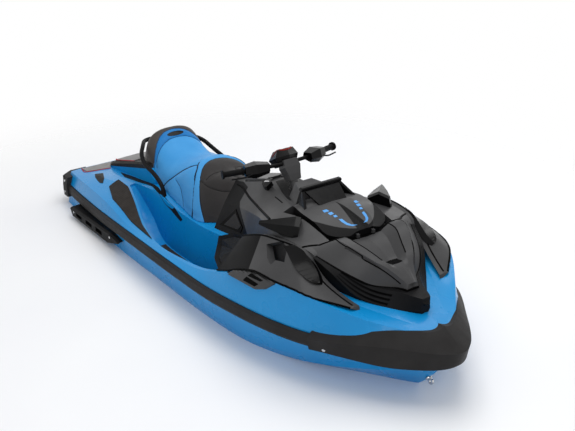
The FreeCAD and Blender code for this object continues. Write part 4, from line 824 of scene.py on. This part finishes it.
PEDESTAL_INLAY = [(0.401, 0.252, 0.52), (0.556, 0.246, 0.55), (0.702, 0.247, 0.58),
                  (0.839, 0.248, 0.60), (0.936, 0.251, 0.60), (1.032, 0.264, 0.59),
                  (1.153, 0.272, 0.55), (1.290, 0.283, 0.51), (1.273, 0.287, 0.51),
                  (1.141, 0.281, 0.54), (1.019, 0.279, 0.57), (0.962, 0.278, 0.58),
                  (0.890, 0.269, 0.59), (0.707, 0.277, 0.56), (0.532, 0.287, 0.54)]
STERN_VENT = [(0.288, 0.392, 0.50), (0.316, 0.342, 0.51), (0.440, 0.395, 0.52),
              (0.500, 0.436, 0.52), (0.478, 0.446, 0.52), (0.431, 0.440, 0.51),
              (0.350, 0.420, 0.51)]
patches("pedestal_inlays", [PEDESTAL_INLAY, STERN_VENT], deck_top, 0.002,
        "plastic")
VENT_PLATE = [(2.272, 0.571, 0.644), (2.277, 0.573, 0.663), (2.313, 0.553, 0.686),
              (2.353, 0.533, 0.706), (2.386, 0.508, 0.722), (2.470, 0.500, 0.741),
              (2.560, 0.505, 0.750), (2.645, 0.520, 0.750), (2.636, 0.534, 0.742),
              (2.578, 0.548, 0.691), (2.501, 0.562, 0.660)]
# Black plates over the vents' slots are painted shade: the dark inside of the slots.
VENT_SLOT_SHADE = [
    [(2.438, 0.562, 0.710), (2.463, 0.551, 0.731), (2.559, 0.549, 0.732), (2.540, 0.553, 0.718)],
    [(2.407, 0.570, 0.672), (2.430, 0.559, 0.698), (2.530, 0.559, 0.701), (2.503, 0.559, 0.673)],
]
VENT_AIM = (0, 1, 0.8)
patches("vent_plates", [VENT_PLATE], deck_top, 0.011, "grey", VENT_AIM)
patches("vent_slot_shade", VENT_SLOT_SHADE, deck_top, 0.0125, "trim_and_gap_shade", VENT_AIM)
STERN_EDGE = [(0.090, 0.398, 0.476), (0.187, 0.404, 0.485), (0.236, 0.246, 0.495)]
STEP_EDGE = [(0.186, 0.172, 0.535), (0.256, 0.206, 0.555), (0.400, 0.210, 0.600),
             (0.548, 0.214, 0.645)]
mats = surface(nodes["deck"], nodes["rear_mat"], nodes["seat_base"])
seam("mat_edging", [STERN_EDGE, STEP_EDGE], mats, 0.0035, "red", 0.001)
hood = surface(nodes["hood"], nodes["cowl"])
HOOD_REAR = [(2.620, 0.352, 0.890), (2.640, 0.310, 0.900), (2.672, 0.262, 0.912),
             (2.700, 0.200, 0.926), (2.702, 0.150, 0.926), (2.703, 0.096, 0.896), (2.703, 0, 0.890)]
HOOD_RIM = [(2.640, 0.348, 0.880), (2.752, 0.302, 0.844), (2.868, 0.238, 0.798),
            (2.948, 0.160, 0.755), (3.004, 0.086, 0.745), (3.074, 0.042, 0.748), (3.079, 0, 0.750)]
SPEAR_LINE = [(2.702, 0.206, 0.926), (2.780, 0.212, 0.930), (2.862, 0.176, 0.898),
              (2.930, 0.138, 0.860), (2.972, 0.100, 0.828), (3.040, 0.052, 0.775)]
RIDGE_LINE = [(2.702, 0.150, 0.926), (2.782, 0.138, 0.926), (2.862, 0.104, 0.896),
              (2.926, 0.078, 0.866)]
# Near-black cords sunk along the hood's joints and along its spear and ridge creases are painted
# shadow.
seam("hood_gap_shadows", [HOOD_REAR, HOOD_RIM], hood, 0.006, "trim_and_gap_shade", -0.001)
seam("hood_crease_shadows", [SPEAR_LINE, RIDGE_LINE], hood, 0.0035, "trim_and_gap_shade", -0.001)
# A black plate in the hood's pocket is painted shade on the recess's shaded side.
HOOD_POCKET = [(2.896, 0, 0.832), (2.905, 0.040, 0.838), (2.955, 0.034, 0.842), (2.960, 0, 0.842)]
patches("hood_pocket_shade", [HOOD_POCKET], hood, 0.001, "trim_and_gap_shade")
PANEL_LOW = [(2.130, 0.560, 0.612), (2.253, 0.562, 0.664), (2.443, 0.554, 0.746),
             (2.600, 0.545, 0.762), (2.740, 0.515, 0.762), (2.860, 0.468, 0.748),
             (2.990, 0.332, 0.706)]
PANEL_TOP = [(2.180, 0.420, 0.800), (2.290, 0.424, 0.852), (2.400, 0.416, 0.884),
             (2.540, 0.396, 0.898), (2.660, 0.372, 0.886), (2.760, 0.368, 0.806),
             (2.980, 0.310, 0.708)]
panel_foot = surface(nodes["side_panels"], nodes["deck"], nodes["side_vents"])
panel_top = surface(nodes["side_panels"])
# Near-black cords sunk along the side panels' lower and upper edges are painted shadow in the gaps.
seam("panel_gap_shadows", [PANEL_LOW], panel_foot, 0.0055, "trim_and_gap_shade", -0.001)
seam("panel_top_gap_shadows", [PANEL_TOP], panel_top, 0.005, "trim_and_gap_shade", -0.001)
GAUGE_RIM = [(1.930, 0.058, 1.095), (1.968, 0.053, 1.139), (1.997, 0.014, 1.149),
             (1.997, -0.014, 1.149), (1.968, -0.053, 1.139), (1.930, -0.058, 1.095)]
MIDDLE = (1,)
seam("gauge_stripe", [GAUGE_RIM], surface(nodes["gauge_pod"]), 0.006, "stripe",
     -0.003, MIDDLE, "steering")


def bolt_head(s, y, h, radius=0.008):
    """A round outline, seen from the side."""
    return [(s + radius * cos, y, h + radius * sin) for cos, sin in turns(10)]


OVAL = [(0.745 + 0.019 * sin, 0.062 * cos, 0.86) for cos, sin in turns(16)]
OVAL_AIM = (0.4, 0, 1)
patches("backrest_oval", [OVAL], passenger_skin, 0.0015, "gloss", OVAL_AIM, MIDDLE)
BOLTS = [(2.940, 0.455, 0.479), (0.372, 0.603, 0.298), (0.905, 0.603, 0.322),
         (0.085, 0.535, 0.415), (0.085, 0.535, 0.335)]
bolted = surface(nodes["bow_bumper"], nodes["sponsons"], nodes["stern_bumpers"])
patches("bolts", [bolt_head(*place) for place in BOLTS], bolted, 0.0025, "steel",
        aim=(0, 1, 0), cell=0.02)

# Light, floor and background

# Name, place, size, watts and target of each lamp
LIGHTS = [
    ("overhead", (0.3, 0.4, 5.0), (5.0, 3.0), 140, (0, 0, 0.3)),
    ("bow_side", (4.5, -4.5, 3.0), (2.5, 2.0), 45, (0, 0, 0.4)),
    ("port_rim", (-1.0, 5.5, 2.6), (4.0, 1.2), 40, (0.3, 0, 0.4)),
]
# The world's strength as light, and as the white background
AMBIENT, WHITE = 0.6, 1.0
FLOOR_HALF = 30
# The floor lies at the waterline, because the craft is a boat afloat
WATERLINE = 0
# The floor fades into the background between these distances from amidships
FADE_START, FADE_END = 1.7, 3.6


def area_light(name, place, size, watts, target):
    """A rectangular lamp aimed at a target."""
    data = bpy.data.lights.new(name, "AREA")
    data.shape = "RECTANGLE"
    data.size, data.size_y = size
    data.energy = watts
    light = bpy.data.objects.new(name, data)
    light.location = place
    aim = Vector(target) - Vector(place)
    light.rotation_euler = aim.to_track_quat("-Z", "Y").to_euler()
    bpy.context.scene.collection.objects.link(light)


def make_world():
    """Even light, and white behind the craft and in what its metal and glass reflect."""
    world = bpy.data.worlds.new("world")
    bpy.context.scene.world = world
    world.use_nodes = True
    tree = world.node_tree
    background = tree.nodes["Background"]
    background.inputs["Color"].default_value = (1, 1, 1, 1)
    path = tree.nodes.new("ShaderNodeLightPath")
    seen = path.outputs["Is Camera Ray"]
    for kind in ("Is Glossy Ray", "Is Transmission Ray"):
        either = tree.nodes.new("ShaderNodeMath")
        either.operation = "MAXIMUM"
        tree.links.new(seen, either.inputs[0])
        tree.links.new(path.outputs[kind], either.inputs[1])
        seen = either.outputs[0]
    strength = tree.nodes.new("ShaderNodeMapRange")
    strength.inputs["To Min"].default_value = AMBIENT
    strength.inputs["To Max"].default_value = WHITE
    tree.links.new(seen, strength.inputs["Value"])
    tree.links.new(strength.outputs["Result"], background.inputs["Strength"])


def make_floor():
    """A pale floor that fades out round the craft and keeps its shadow."""
    mesh = bpy.data.meshes.new("floor")
    ends = (-FLOOR_HALF, FLOOR_HALF)
    corners = [(x, y, WATERLINE) for y in ends for x in ends]
    mesh.from_pydata(corners, [], [(0, 1, 3, 2)])
    floor = bpy.data.objects.new("floor", mesh)
    bpy.context.scene.collection.objects.link(floor)
    shader = Shader("floor")
    shader.colour(shader.blend(shader.noise(0.8), srgb(243, 244, 247), srgb(247, 248, 250)))
    shader.rough(shader.spread(shader.noise(2.0), 0.55, 0.65))
    s, y, _ = shader.place()
    lengthwise = shader.math("POWER", shader.minus(s, HALF_LENGTH), 2.0)
    reach = shader.math("SQRT", shader.plus(lengthwise, shader.times(y, y)))
    fade = shader.mapped(reach, FADE_START, FADE_END, 1.0, 0.0, interpolation_type="SMOOTHSTEP")
    shader.link(fade, shader.principled.inputs["Alpha"])
    mesh.materials.append(shader.material)


make_camera()
make_world()
make_floor()
for light in LIGHTS:
    area_light(*light)

bpy.context.scene.view_settings.view_transform = "Standard"
